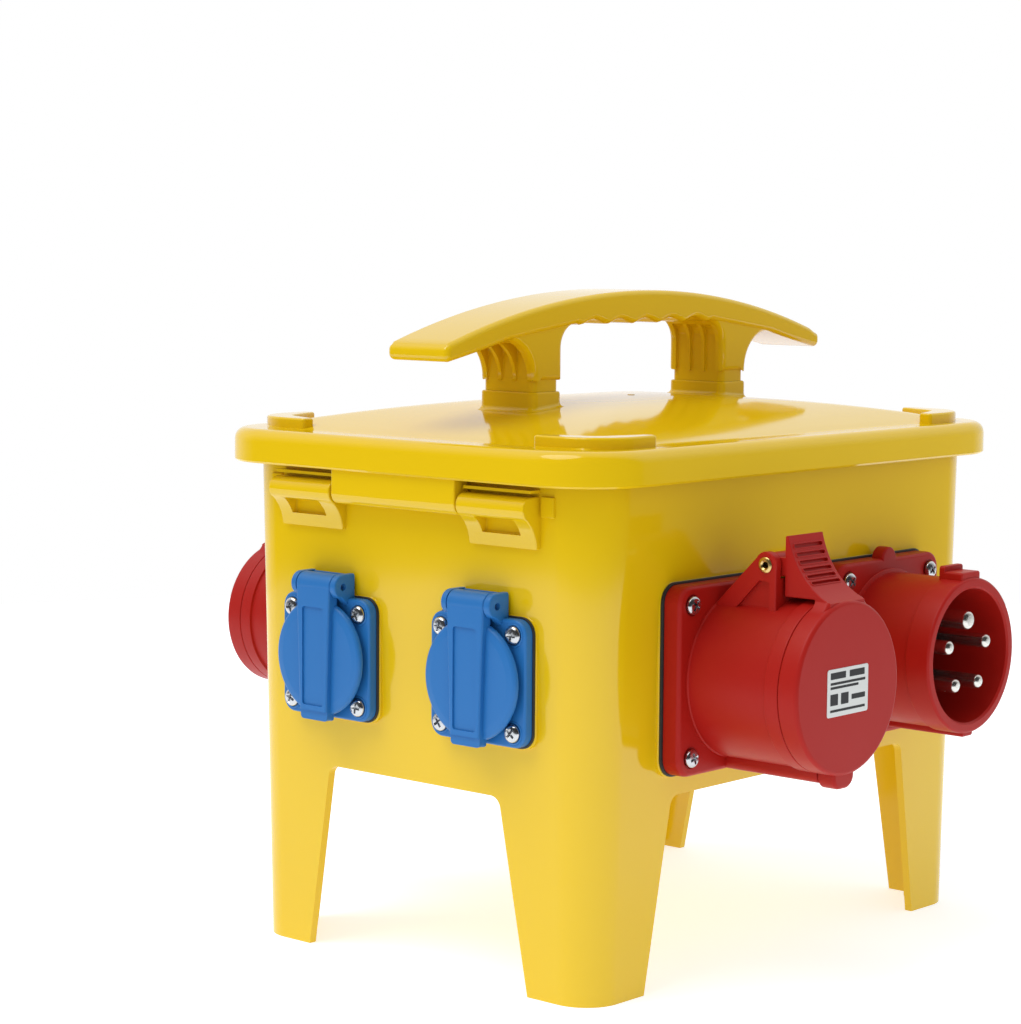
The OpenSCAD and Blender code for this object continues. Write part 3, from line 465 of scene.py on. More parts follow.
HINGE = joint_at("lid_hinge")
RIM_Z = HINGE.z + 9.6
FOOT_X, RIM_X = 93, 97
FOOT_Y, RIM_Y = 127, 132
FOOT_R, RIM_R = 16, 22
WALL = 3.5
FLOOR_Z = 85
FLOOR_T = 3
GAP_H = 78
GAP_X, GAP_Y = 47, 80
GAP_FLARE = 14
GAP_R = 5
BAR_R = 4.8
BAR_IN, BAR_OUT = 35, 70
BRACKET_Z = 177.5
PIN_R = 1.8


def tub_ring(z, distance):
    rise = z / RIM_Z
    hx = FOOT_X + (RIM_X - FOOT_X) * rise - distance
    hy = FOOT_Y + (RIM_Y - FOOT_Y) * rise - distance
    r = FOOT_R + (RIM_R - FOOT_R) * rise - distance
    return [(u, v, z) for u, v in round_rect(hx, hy, r, 12)]


def tub_wall():
    """Tapered shell with a floor and the hollow under it."""
    top = tub_high.z
    outside = loft([tub_ring(0, 0), tub_ring(top - 0.8, 0), tub_ring(top, 0.8)])
    levels = [(FLOOR_Z, WALL + 3), (FLOOR_Z + 0.9, WALL + 0.9), (FLOOR_Z + 3, WALL), (top + 1, WALL)]
    inside = loft([tub_ring(z, d) for z, d in levels])
    under = FLOOR_Z - FLOOR_T
    levels = [(-1, WALL), (under - 3, WALL), (under - 0.9, WALL + 0.9), (under, WALL + 3)]
    hollow = loft([tub_ring(z, d) for z, d in levels])
    return cut(outside, inside, hollow)


def gap(half, axis, reach):
    """Opening between two legs, with rounded upper corners."""
    flare = GAP_FLARE * (GAP_H + 1) / GAP_H
    corners = [(half + flare, -1, 0), (half, GAP_H, GAP_R), (-half, GAP_H, GAP_R), (-half - flare, -1, 0)]
    return prism(rounded(corners, 6), axis, -reach, reach)


def leg_ribs():
    """Cross ribs inside the four hollow legs."""
    ribs = []
    for sx in (-1, 1):
        for sy in (-1, 1):
            across = block(76, 78.4, 113, FOOT_Y - 1, 1, FLOOR_Z - 1)
            along = block(80, FOOT_X - 1, 110, 112.4, 1, FLOOR_Z - 1)
            for rib in (across, along):
                rib = mirrored(rib, X) if sx < 0 else rib
                ribs.append(mirrored(rib, Y) if sy < 0 else rib)
    return ribs


def flange_seats():
    """Flat seats that the flanges stand on, just proud of the tapered walls."""
    seats = []
    seat_x = CEE_FACE - 1.2
    seat_y = SCHUKO_FACE - 1.2
    half = CEE_FLANGE + 1
    for y in (-CEE_Y, CEE_Y):
        outline = rectangle(y - half, y + half, CEE_Z - half, CEE_Z + half, 7)
        seats += both_sides(prism(outline, "x", seat_x - WALL, seat_x, 0, 0.5))
    half = SCHUKO_FLANGE + 1
    outline = rectangle(SCHUKO_X - half, SCHUKO_X + half, SCHUKO_Z - half, SCHUKO_Z + half, 6)
    seats += both_sides(prism(outline, "y", -seat_y, -seat_y + WALL, 0.5, 0))
    return seats


def hinge_bracket():
    """Hinge bar on the right with its hollow bracket and window."""
    back = -RIM_Y + 1
    outline = [(back, HINGE.z + BAR_R)] + arc(HINGE.y, HINGE.z, BAR_R, 90, 225, 12)
    foot = (-RIM_Y - 1.5, BRACKET_Z)
    outline += bezier(outline[-1], (-RIM_Y - 2.6, BRACKET_Z + 8), foot, 10)[1:]
    outline += [(back, BRACKET_Z)]
    body = prism(outline, "x", BAR_IN, BAR_OUT, 0.5, 0.5)
    window = block(BAR_IN + 8, BAR_OUT - 7, HINGE.y - 8, -RIM_Y - 0.4, 182.6, 189.0, 0.8, 0.3)
    pin = rod("x", BAR_IN - 1, BAR_OUT - 0.5, PIN_R, HINGE.y, HINGE.z)
    return cut(body, window, pin)


def lock_lug():
    lug = block(45, 59, RIM_Y - 1, 140.8, 190, 200.5, 1.5, 0.8)
    return cut(lug, rod("z", 189, 202, 2.05, 52, 136.4))


def tub_openings():
    """Holes behind the flanges."""
    reach = [SCHUKO_FACE - 8, SCHUKO_FACE + 2]
    holes = both_sides(rod("y", -reach[1], -reach[0], 22.8, SCHUKO_X, SCHUKO_Z))
    for y in (-CEE_Y, CEE_Y):
        holes += both_sides(rod("x", CEE_FACE - 12, CEE_FACE + 2, 27, y, CEE_Z, 0, 64))
    return holes


def make_tub():
    wall = cut(tub_wall(), gap(GAP_X, "y", 150), gap(GAP_Y, "x", 120))
    pads = [block(-11, 11, y - 6, y + 6, FLOOR_Z - 1, FLOOR_Z + 3, 1, 0.5) for y in (-70, 70)]
    ledge = block(BAR_IN, BAR_OUT, HINGE.y - 0.5, -RIM_Y + 2, 199.2, 200.4, 0.4)
    stop = block(BAR_OUT + 1.2, BAR_OUT + 7.5, -RIM_Y - 0.9, -RIM_Y + 2, 190, 198, 0.4, 0.3)
    extra = leg_ribs() + pads + flange_seats() + both_sides(hinge_bracket()) + both_sides(lock_lug())
    shell = join(wall, *extra, *both_sides(ledge), *both_sides(stop))
    shell = cut(shell, *tub_openings())
    shell = soften(shell, 0.7, lambda p: p.z < GAP_H + 1)
    piece("tub", shell, "tub", "yellow_plastic", ["body_shell"])


# ---------- lid ----------

LID_X, LID_Y = lid_high.x, lid_high.y
LID_R = 29.4
RIM_H = 13.9
RIM_TOP = RIM_Z + RIM_H
BORDER = 14
LID_T = 3
EDGE_R = 5
DOME_Z = 229
PAD_Z = 221
SKIRT_X = 34
KNUCKLE_R = 4.45
COLLAR_Z = 233
POST_Y = 63
HANDLE_Y = (handle_low.y + handle_high.y) / 2


def arch_drop(distance, half, rise):
    """How far an arch of the given half span and rise has dropped at a distance."""
    r = (half * half + rise * rise) / (2 * rise)
    return r - math.sqrt(r * r - distance * distance)


def dome_height(x, y):
    """Hipped dome: the lower of two crossed arches, blended at the hips."""
    rise = DOME_Z - RIM_TOP
    a = rise - arch_drop(min(abs(x), LID_X - BORDER), LID_X - BORDER, rise)
    b = rise - arch_drop(min(abs(y), LID_Y - BORDER), LID_Y - BORDER, rise)
    soft = 0.5
    low = min(a, b) - soft * math.log1p(math.exp(-abs(a - b) / soft))
    fade = min(1, min(a, b) / 2)
    return min(a, b) * (1 - fade) + low * fade if low > 0 else max(min(a, b), 0)


def lid_ring(distance, z):
    outline = round_rect(LID_X - distance, LID_Y - distance, LID_R - distance, 10, 14)
    return [(u, v, z) for u, v in outline]


def lid_block(distance, bottom, drop):
    """Rim, flat border and dome in one skin."""
    soft = 0.8 if distance == 0 else 0.01
    r = EDGE_R - min(distance, 2.5)
    top = RIM_TOP - drop
    rings = [lid_ring(distance + soft, bottom), lid_ring(distance, bottom + soft)]
    for i in range(7):
        a = math.radians(15 * i)
        rings.append(lid_ring(distance + r * (1 - math.cos(a)), top - r * (1 - math.sin(a))))
    rings.append(lid_ring(BORDER - 0.5, top))
    hx, hy = LID_X - BORDER, LID_Y - BORDER
    scales = [1 - 0.02 * i for i in range(5)] + [0.92 - 0.06 * i for i in range(15)] + [0.02]
    for s in scales:
        outline = round_rect(hx * s, hy * s, (LID_R - BORDER) * s, 10, 14)
        rings.append([(u, v, top + dome_height(u, v)) for u, v in outline])
    return loft(rings)


def ring_band(width, low, high, edge=0.0):
    """Band that follows the top of the tub's wall."""
    mid_x = FOOT_X + (RIM_X - FOOT_X) * tub_high.z / RIM_Z - WALL / 2
    mid_y = FOOT_Y + (RIM_Y - FOOT_Y) * tub_high.z / RIM_Z - WALL / 2
    profile = rectangle(-width / 2, width / 2, low, high, edge, 3)
    rings = []
    for d, z in profile:
        rings.append([(u, v, z) for u, v in round_rect(mid_x + d, mid_y + d, RIM_R + d, 12)])
    return loft(rings, closed=True)


def corner_pad():
    """Raised pad in the lid's right rear corner with a notch in its inner side."""
    px, py, r, leg = LID_X - 9.6, LID_Y - 15, 19.8, 34
    corners = [(px, py, r), (px - leg, py, 1.5), (px - leg, py - 6, 2), (px - leg + 7, py - 8, 5),
               (px - 13, py - 13, 8), (px - 8, py - leg + 7, 5), (px - 6, py - leg, 2), (px, py - leg, 1.5)]
    pad = prism(rounded(corners, 6), "z", RIM_TOP - 2, PAD_Z, 0, 1.0)
    return pad


def collar(y):
    """Raised foot on the dome that carries a handle post, with a small fillet at its base."""
    hx, hy, r = 15.1, 9.2, 3
    rings = [[(u, v + y, DOME_Z - 8) for u, v in round_rect(hx + 1.7, hy + 1.7, r + 1.7, 6)]]
    for d, rise in ((1.7, 0.1), (1.0, 0.35), (0.45, 0.85), (0.12, 1.4), (0, 2.0)):
        outline = [(u, v + y) for u, v in round_rect(hx + d, hy + d, r + d, 6)]
        rings.append([(u, v, RIM_TOP + dome_height(u, v) + rise) for u, v in outline])
    for d, z in ((0, COLLAR_Z - 0.9), (-0.25, COLLAR_Z - 0.3), (-0.8, COLLAR_Z)):
        rings.append([(u, v + y, z) for u, v in round_rect(hx + d, hy + d, r + d, 6)])
    return loft(rings)


def make_lid():
    shell = cut(lid_block(0, RIM_Z, 0), lid_block(LID_T, RIM_Z - 1, LID_T))
    pads = []
    for pad in both_sides(corner_pad()):
        pads += both_sides(pad, Y)
    skirt = block(-SKIRT_X, SKIRT_X, HINGE.y - KNUCKLE_R, HINGE.y + 3.9, HINGE.z, RIM_Z + 11, 0.8)
    knuckle = rod("x", -SKIRT_X, SKIRT_X, KNUCKLE_R, HINGE.y, HINGE.z, 0.6)
    bosses = both_sides(block(47, 57, 133.1, LID_Y - 1, RIM_Z + 1, RIM_Z + 11, 0.8, 0.4))
    gate = rod("z", DOME_Z - 3, DOME_Z - 0.15, 1.6, 3, 4, 0.2)
    band = ring_band(7, tub_high.z + 3, RIM_TOP - 1.5)
    collars = [collar(HANDLE_Y + s * POST_Y) for s in (-1, 1)]
    shell = join(shell, band, *pads, *collars, skirt, knuckle, *bosses, gate)
    pin = rod("x", -SKIRT_X - 1, SKIRT_X + 1, PIN_R + 0.01, HINGE.y, HINGE.z)
    holes = both_sides(rod("z", RIM_Z, RIM_Z + 9, 2.7, 52, 136.4))
    piece("lid", cut(shell, pin, *holes), "lid", "yellow_plastic", ["lid_shell"])
    seal = ring_band(5, tub_high.z + 0.02, tub_high.z + 3, 0.9)
    piece("lid_seal_band", seal, "lid", "black_rubber", ["lid_seal"])


# ---------- handle ----------

HANDLE_Z = handle_high.z
HANDLE_HALF = (handle_high.y - handle_low.y) / 2
HANDLE_W = handle_high.x
ARCH_R = 395
GRIP_Z = 260
TIP_T = 6.6
TIP_TOP_R = 2.4
TIP_LOW_R = 2.6
POST_HALF = 9
POST_X = 15.2
NECK_Z = 237.5
SLOT_HALF = 3.1


def arch(y):
    return HANDLE_Z - ARCH_R + math.sqrt(ARCH_R * ARCH_R - y * y)


def grip(y):
    """Underside between the posts: shallow finger scallops."""
    wave = 0.5 + 0.5 * math.cos(2 * math.pi * y / 17)
    return GRIP_Z + 2.2 * wave ** 0.75


def beam_outline():
    """Side view of the beam: arched top, thin tips and a scalloped grip."""
    half = HANDLE_HALF
    outer, inner = POST_Y + POST_HALF, POST_Y - POST_HALF
    right = arc(half - TIP_TOP_R, arch(half) - TIP_TOP_R, TIP_TOP_R, 90, 0, 5)
    right += arc(half - TIP_LOW_R, arch(half) - TIP_T + TIP_LOW_R, TIP_LOW_R, 0, -90, 5)
    under = bezier(right[-1], (outer + 28, arch(outer + 28) - 9.6), (outer + 17, 254.6), 8)[1:]
    steps = 44
    reach = inner - 9
    places = [reach - 2 * reach * i / steps for i in range(steps + 1)]
    scallops = [(y, grip(y)) for y in places]
    flat = half - TIP_TOP_R
    top = [(y, arch(y)) for y in [-flat + 2 * flat * i / 60 for i in range(61)]]
    side = right + under
    left = [(-y, z) for y, z in reversed(side)]
    return top[:-1] + side + scallops + left[:-1]


def handle_post():
    """Post with its two flares, its top buried in the beam."""
    outer, inner = POST_Y + POST_HALF, POST_Y - POST_HALF
    outline = [(outer + 16, 257.5)] + arc(outer + 16, 238, 16.5, 88, 180, 12)
    outline += [(outer, NECK_Z), (inner, NECK_Z)]
    outline += arc(inner - 10, GRIP_Z - 9.5, 10, 0, 82, 10) + [(inner - 8, 263.5)]
    return prism(counter_clockwise(outline), "x", -POST_X, POST_X, 2.4, 2.4, 4)


def post_slots():
    """Spaces between the gusset ribs on both faces of a post."""
    tools = []
    outer, inner = POST_Y + POST_HALF, POST_Y - POST_HALF
    bottom = NECK_Z - 1
    floor, top = outer - 1.3, 253.4
    outside = [(floor, bottom, 0), (floor, top, 5), (outer + 12, top, 0), (outer + 20, bottom, 0)]
    floor, top = inner + 1.3, 258.2
    inside = [(floor, bottom, 0), (floor, top, 5), (inner - 9, top, 0), (inner - 14, bottom, 0)]
    for x in (-8, 0, 8):
        for shape in (outside, inside):
            outline = counter_clockwise(rounded(shape, 6))
            tools.append(prism(outline, "x", x - SLOT_HALF, x + SLOT_HALF, 0.5, 0.5, 2))
    return tools


def make_handle():
    place = shift(y=HANDLE_Y)
    beam = prism(beam_outline(), "x", -HANDLE_W, HANDLE_W, 2.3, 2.3, 4)
    post = cut(handle_post(), *post_slots())
    neck = block(-14, 14, POST_Y - 7.9, POST_Y + 7.9, COLLAR_Z + 0.02, NECK_Z + 1, 2.5)
    tenon = block(-12, 12, POST_Y - 6, POST_Y + 6, COLLAR_Z - 12, COLLAR_Z + 1, 1)
    parts = []
    for part in (post, neck, tenon):
        parts += both_sides(part, Y)
    piece("handle_bow", join(beam, *parts), "lid", "yellow_plastic", ["handle"], place)


# ---------- screws ----------

HEAD_R = 3.7
HEAD_H = 2.2


def screw(length):
    """Pan-head screw along +X with a cross recess: its head's underside is at x = 0."""
    head = [(0, 0), (0, HEAD_R - 0.2), (0.15, HEAD_R), (0.8, HEAD_R)]
    head += [(0.8 + 1.4 * math.sin(math.radians(a)), HEAD_R - 1.9 + 1.9 * math.cos(math.radians(a)))
             for a in range(15, 91, 15)] + [(HEAD_H, 0)]
    solid_head = lathe(head, "x", 48)
    shank = rod("x", -length, 0.2, 1.9, 0, 0, 0.5, 24)
    mouth, end = rectangle(-2.5, 2.5, -0.55, 0.55), rectangle(-1.0, 1.0, -0.25, 0.25)
    slot = loft([[(HEAD_H + 0.1, u, v) for u, v in mouth], [(0.7, u, v) for u, v in end]])
    slots = [moved(slot, turn(angle, "X")) for angle in (45, 135)]
    return join(cut(solid_head, *slots), shank)


def schuko_place(side):
    return shift(side * SCHUKO_X, -SCHUKO_FACE, SCHUKO_Z) @ turn(180, "Z")


def cee_place(side, row):
    """Row -1 is the front pair of the side, row 1 the rear pair."""
    return shift(side * CEE_FACE, row * CEE_Y, CEE_Z) @ turn(0 if side > 0 else 180, "Z")


CEE_SPOTS = {"cee32": (1, -1), "cee16_front": (-1, -1), "cee16_rear": (-1, 1), "inlet": (1, 1)}


def four(d):
    """The four corners of a square of half width d."""
    return [(u, v) for u in (-d, d) for v in (-d, d)]


def set_screws(length, spots, first):
    """Screws at their places, each with its recess turned a little further."""
    one = screw(length)
    return merge([moved(one, spot @ turn(37 * (first + i), "X")) for i, spot in enumerate(spots)])


def make_screws():
    spots = []
    for side in (-1, 1):
        spots += [schuko_place(side) @ shift(x, 3.9, z) @ turn(90, "Z") for x, z in four(19)]
    piece("schuko_flange_screws", set_screws(12, spots, 1), "tub", "zinc_steel", ["schuko_screws"])
    spots = []
    for side, row in CEE_SPOTS.values():
        spots += [cee_place(side, row) @ shift(8, y, z) for y, z in four(30)]
    piece("cee_flange_screws", set_screws(16, spots, 9), "tub", "zinc_steel", ["cee_screws"])


# ---------- domestic sockets ----------

STRIP_X = 9.6
EAR_X = 12.8
SCHUKO_AXIS = (6.6, 29.8)
DISC_R = 24
WELL_R = 19.6


def schuko_housing():
    f = SCHUKO_FLANGE
    ay, az = SCHUKO_AXIS
    base = prism(round_rect(f, f, 6), "y", 0, 3.9, 0, 1.0)
    rim = rod("y", 2, 4.8, WELL_R + 1.6, 0, 0, 0.4, 96)
    rear = rod("y", -35, 1, 22.4, 0, 0, 0.6, 96)
    back = block(-EAR_X, EAR_X, 0, 1.2, f - 4, az + 4.6, 0.3, 0.4)
    ear = [(0, f - 3), (3.9, f - 3), (7.5, f + 0.3)] + arc(ay, az, 5, -55, 90, 10) + [(0, az + 5)]
    ears = both_sides(prism(ear, "x", STRIP_X + 0.25, EAR_X, 0.3, 0.8))
    bosses = [rod("y", 1, 4.3, 4.6, x, z, 0.3) for x, z in four(19)]
    whole = join(base, rim, rear, back, *ears, *bosses)
    well = rod("y", -13.6, 9, WELL_R, 0, 0, 0, 96)
    holes = [rod("y", -31, 0, 2.7, x, 0) for x in (-9.5, 9.5)]
    pin = rod("x", -20, 20, 1.5, ay, az)
    clips = [block(-4, 4, -11, 0.9, z, z + 3.0) for z in (-WELL_R - 1.5, WELL_R - 1.5)]
    screws = [rod("y", 3.8, 9, 4.0, x, z) for x, z in four(19)]
    return cut(whole, well, *holes, pin, *clips, *screws)


def schuko_flap():
    """Round lid with its strip from the hinge to the lift tab."""
    ay, az = SCHUKO_AXIS
    low, high = 6.3, 9.2
    profile = [(low, 0, 0), (low, DISC_R, 0.5), (high - 0.5, DISC_R, 1.8), (high, DISC_R - 4, 6), (high, 0, 0)]
    disc = lathe(rounded(profile, 5), "y")
    face = rounded([(-STRIP_X, az, 0), (STRIP_X, az, 0), (7.6, -25.5, 1.6), (-7.6, -25.5, 1.6)], 5)
    strip = prism(face, "y", ay + 0.2, ay + 5, 0, 0.9)
    side = [(low, -16, 0), (low, -25.5, 0.8), (ay + 3, -25.5, 2.5), (ay + 4, -20, 3), (ay + 4, -16, 0)]
    tab = prism(rounded(side, 5), "x", -7.6, 7.6, 0.8, 0.8)
    knuckle = rod("x", -STRIP_X, STRIP_X, 5, ay, az, 0.7)
    whole = join(disc, strip, tab, knuckle)
    panel = prism(rectangle(-6, 6, -19.5, 21, 1.2), "y", ay + 4.2, ay + 6, 0, 0)
    step = prism(rectangle(-12, 12, -27, -21.6, 0.4), "y", ay + 4.1, ay + 6)
    pin = rod("x", -20, 20, 1.45, ay, az)
    spring_room = rod("x", -5, 5, 3.2, ay, az)
    seat = rod("y", low - 1, low + 1, 20.6, 0, 0, 0, 96)
    return cut(whole, panel, step, pin, spring_room, seat)


def gasket(half, r, hole, axis):
    """Flange gasket with a slightly bulged edge."""
    sheet = prism(round_rect(half, half, r), axis, -1.2, 0, 0.45, 0.45, 3)
    return cut(sheet, rod(axis, -2, 1, hole, 0, 0, 0, 64))


def helix(radius, wire, turns, length, steps=20):
    """Torsion spring along X."""
    path = []
    for i in range(turns * steps + 1):
        a = 2 * math.pi * i / steps
        path.append((length * (i / (turns * steps) - 0.5), radius * math.cos(a), radius * math.sin(a)))
    return sweep(path, wire, 8)


def make_schukos():
    housing, flap = schuko_housing(), schuko_flap()
    pad = gasket(SCHUKO_FLANGE + 0.8, 6.8, 22.5, "y")
    section = [(4.85, 17.5, 0.4), (7.2, 17.5, 0.6), (7.2, 20.4, 0.6), (4.85, 20.4, 0.4)]
    seal = lathe(rounded(section, 3), "y")
    ay, az = SCHUKO_AXIS
    pin = moved(rod("x", -EAR_X + 1.8, EAR_X - 1.8, 1.4, 0, 0, 0.2, 32), shift(0, ay, az))
    coil = moved(helix(2.3, 0.42, 7, 8.0), shift(0, ay, az))
    coils = []
    for name, side in (("left", -1), ("right", 1)):
        place = schuko_place(side)
        body = f"schuko_{name}_flap_body"
        node = f"schuko_{name}"
        piece(f"{node}_socket", housing, "tub", "blue_plastic", [f"{node}_housing"], place)
        piece(f"{node}_cover", flap, body, "blue_plastic", [f"{node}_flap"], place)
        piece(f"{node}_pad", pad, "tub", "black_rubber", [f"{node}_gasket"], place)
        piece(f"{node}_cover_seal", seal, body, "black_rubber", [f"{node}_flap_seal"], place)
        piece(f"{node}_cover_pin", pin, "tub", "zinc_steel", [f"{node}_flap_pin"], place)
        coils.append(moved(coil, place))
    piece("schuko_springs", merge(coils), "tub", "zinc_steel", ["schuko_flap_springs"])


# ---------- industrial sockets ----------

CEE_FRONT = 52
CAP_T = 9
BORE_R = 28
BODY_R = 26.5
CEE_AXIS = (32.4, 46.6)
EAR_IN, EAR_OUT = 12.4, 15.8
TAB_Y = 11.6


def cee_flange():
    f = CEE_FLANGE
    plate = prism(round_rect(f, f, 7), "x", 0, 8, 0.4, 1.8, 4)
    bosses = [rod("x", 4, 8.0, 5.2, y, z, 0.3) for y, z in four(30)]
    return plate, bosses


def flange_screw_rooms():
    return [rod("x", 7.4, 12, 4.3, y, z) for y, z in four(30)]


def ear_outline(cap_r):
    ax, az = CEE_AXIS
    foot = cap_r - 6
    corners = [(7, foot, 0), (37.3, foot, 0), (37.3, az + 1, 2), (ax - 4.2, az + 3, 2), (8.6, 30, 0)]
    return rounded(corners, 4)


def cee_ear(cap_r):
    """Hinge ear with a raised rib along its slope and its front edge."""
    ax, az = CEE_AXIS
    plate = prism(ear_outline(cap_r), "y", EAR_IN, EAR_OUT, 0.4, 0.6)
    foot = cap_r - 8
    recess = [(15.5, foot, 0), (34.2, foot, 0), (34.2, az - 6.6, 1.0), (29.5, az - 6, 1.5)]
    plate = cut(plate, prism(rounded(recess, 4), "y", EAR_OUT - 1.6, EAR_OUT + 1))
    boss = rod("y", EAR_IN, EAR_OUT + 0.05, 5.2, ax, az, 0.5)
    ear = join(plate, boss)
    return cut(ear, rod("y", EAR_IN - 1, EAR_OUT + 1, 2.1, ax, az))


def nose_outline(cap_r):
    """Rounded rib along the underside."""
    return rectangle(-7.5, 7.5, -cap_r - 3.5, -cap_r + 5, 3.2, 6)


def cee_housing(cap_r):
    plate, bosses = cee_flange()
    ring_x = 45.4
    profile = [(6, 0, 0), (6, cap_r - 0.6, 0), (8.6, cap_r - 0.6, 0.3), (9.0, cap_r - 1, 0.2)]
    profile += [(ring_x, cap_r - 1, 0.3), (ring_x + 0.4, cap_r, 0.3), (CEE_FRONT, cap_r, 0.5), (CEE_FRONT, 0, 0)]
    barrel = lathe(rounded(profile, 3), "x", 128)
    rib = prism(nose_outline(cap_r), "x", 7, CEE_FRONT, 0, 0.8)
    ears = both_sides(cee_ear(cap_r), Y)
    wall = block(33.5, 37.3, -EAR_IN - 0.5, EAR_IN + 0.5, cap_r - 4, CEE_AXIS[1] - 5.1, 0, 0.3)
    whole = join(plate, *bosses, barrel, rib, wall, *ears)
    bore = rod("x", 2, CEE_FRONT + 1, BORE_R, 0, 0, 0, 96)
    floor = rod("x", -1, 3, BODY_R, 0, 0, 0, 96)
    return cut(whole, bore, floor, *flange_screw_rooms())


def cee_insert():
    """Contact carrier with five sleeves."""
    core = rod("x", -34, 2, BODY_R - 0.1, 0, 0, 0.6, 96)
    holes = []
    for i in range(5):
        a = math.radians(72 * i)
        y, z = -14.7 * math.sin(a), 14.7 * math.cos(a)
        holes.append(rod("x", -28, 3, 4.6, y, z))
    return cut(core, *holes)


def tab_curve(cap_r):
    """Hollow front of the thumb tab, from its tip down to the cap's face."""
    ax, az = CEE_AXIS
    return (ax + 7.2, az + 11.4), (ax + 11.7, cap_r + 6.0), (CEE_FRONT + CAP_T - 1.2, cap_r - 0.4)


def tab_grooves(cap_r):
    """Finger grooves across the tab and the thin lips between them."""
    a, b, c = tab_curve(cap_r)
    path = bezier(a, b, c, 60)
    cuts = []
    lips = []
    for i in range(6):
        at = 7 + 6 * i
        here, ahead = Vector(path[at]), Vector(path[at + 1])
        slope = math.degrees(math.atan2(ahead.y - here.y, ahead.x - here.x))
        place = shift(here.x, 0, here.y) @ turn(-slope, "Y")
        lips.append(moved(prism(rectangle(-1.25, 1.25, -9.8, 9.8, 1.2), "z", -1, 0.3, 0, 0.25), place))
        cuts.append(moved(prism(rectangle(-0.75, 0.75, -9.2, 9.2, 0.7), "z", -0.9, 1, 0, 0), place))
    return lips, cuts


def tab_shoulder(cap_r):
    """Concave fillet where the tab widens into the cap."""
    top = cap_r + 3.5
    meet = math.sqrt(cap_r * cap_r - TAB_Y * TAB_Y)
    low = math.sqrt(cap_r * cap_r - (TAB_Y + 6) ** 2)
    edge = bezier((TAB_Y - 1.5, top), (TAB_Y - 0.2, meet + 0.4), (TAB_Y + 6, low - 0.1), 8)
    outline = [(TAB_Y - 4, top - 4)] + [(TAB_Y - 4, meet - 4), (TAB_Y + 6, low - 3)] + edge[::-1]
    return prism(counter_clockwise(outline), "x", CEE_FRONT + 1.2, CEE_FRONT + CAP_T - 1.5, 0, 1.2)


def cee_flap(cap_r):
    ax, az = CEE_AXIS
    back, front = CEE_FRONT + 0.2, CEE_FRONT + CAP_T
    profile = rounded([(back, 0, 0), (back, cap_r, 0.5), (front, cap_r, 1.7), (front, 0, 0)], 6)
    cap = lathe(profile, "x", 128)
    a, b, c = tab_curve(cap_r)
    side = [(ax + 6, cap_r + 0.5), (ax + 6, az + 11.0), (ax + 6.4, az + 11.4)] + bezier(a, b, c, 24)
    side += [(front - 1.2, cap_r - 8), (CEE_FRONT + 0.5, cap_r - 8), (CEE_FRONT + 0.5, cap_r + 0.5)]
    tab = prism(side[::-1], "y", -TAB_Y, TAB_Y, 0.5, 0.5)
    nose = prism(rectangle(-7, 7, -cap_r - 5.4, -cap_r + 6, 5.2, 8), "x", back, front - 1.2, 0.3, 1.5)
    knuckle = rod("y", -TAB_Y, TAB_Y, 4.6, ax, az, 0.5)
    web = block(ax, ax + 8, -TAB_Y, TAB_Y, az - 4, az + 3, 0.4, 0.4)
    lips, grooves = tab_grooves(cap_r)
    slope = prism(side[::-1], "y", -TAB_Y - 8, TAB_Y + 8)
    shoulders = both_sides(combine(tab_shoulder(cap_r), [slope], "INTERSECT"), Y)
    whole = join(cap, tab, nose, knuckle, web, *lips, *shoulders)
    hollow = rod("x", CEE_FRONT - 1, CEE_FRONT + 5.4, cap_r - 7.5, 0, 0, 0, 96)
    seat = rod("x", CEE_FRONT - 1, CEE_FRONT + 2.4, cap_r - 3, 0, 0, 0, 96)
    pin = rod("y", -20, 20, 2.06, ax, az)
    room = rod("y", -6, 6, 3.7, ax, az)
    return cut(whole, *grooves, hollow, seat, pin, room)


def rivet():
    """Tubular rivet through the ears, flared at both ends."""
    ax, az = CEE_AXIS
    end = EAR_OUT + 0.9
    neck = EAR_OUT + 0.06
    half = [(0, 2.0), (neck, 2.0), (neck, 3.0), (EAR_OUT + 0.45, 3.1), (end, 2.5), (end, 1.9), (end - 0.5, 1.3)]
    profile = half + [(-w, r) for w, r in reversed(half)]
    return lathe(profile, "y", 48, ax, az)


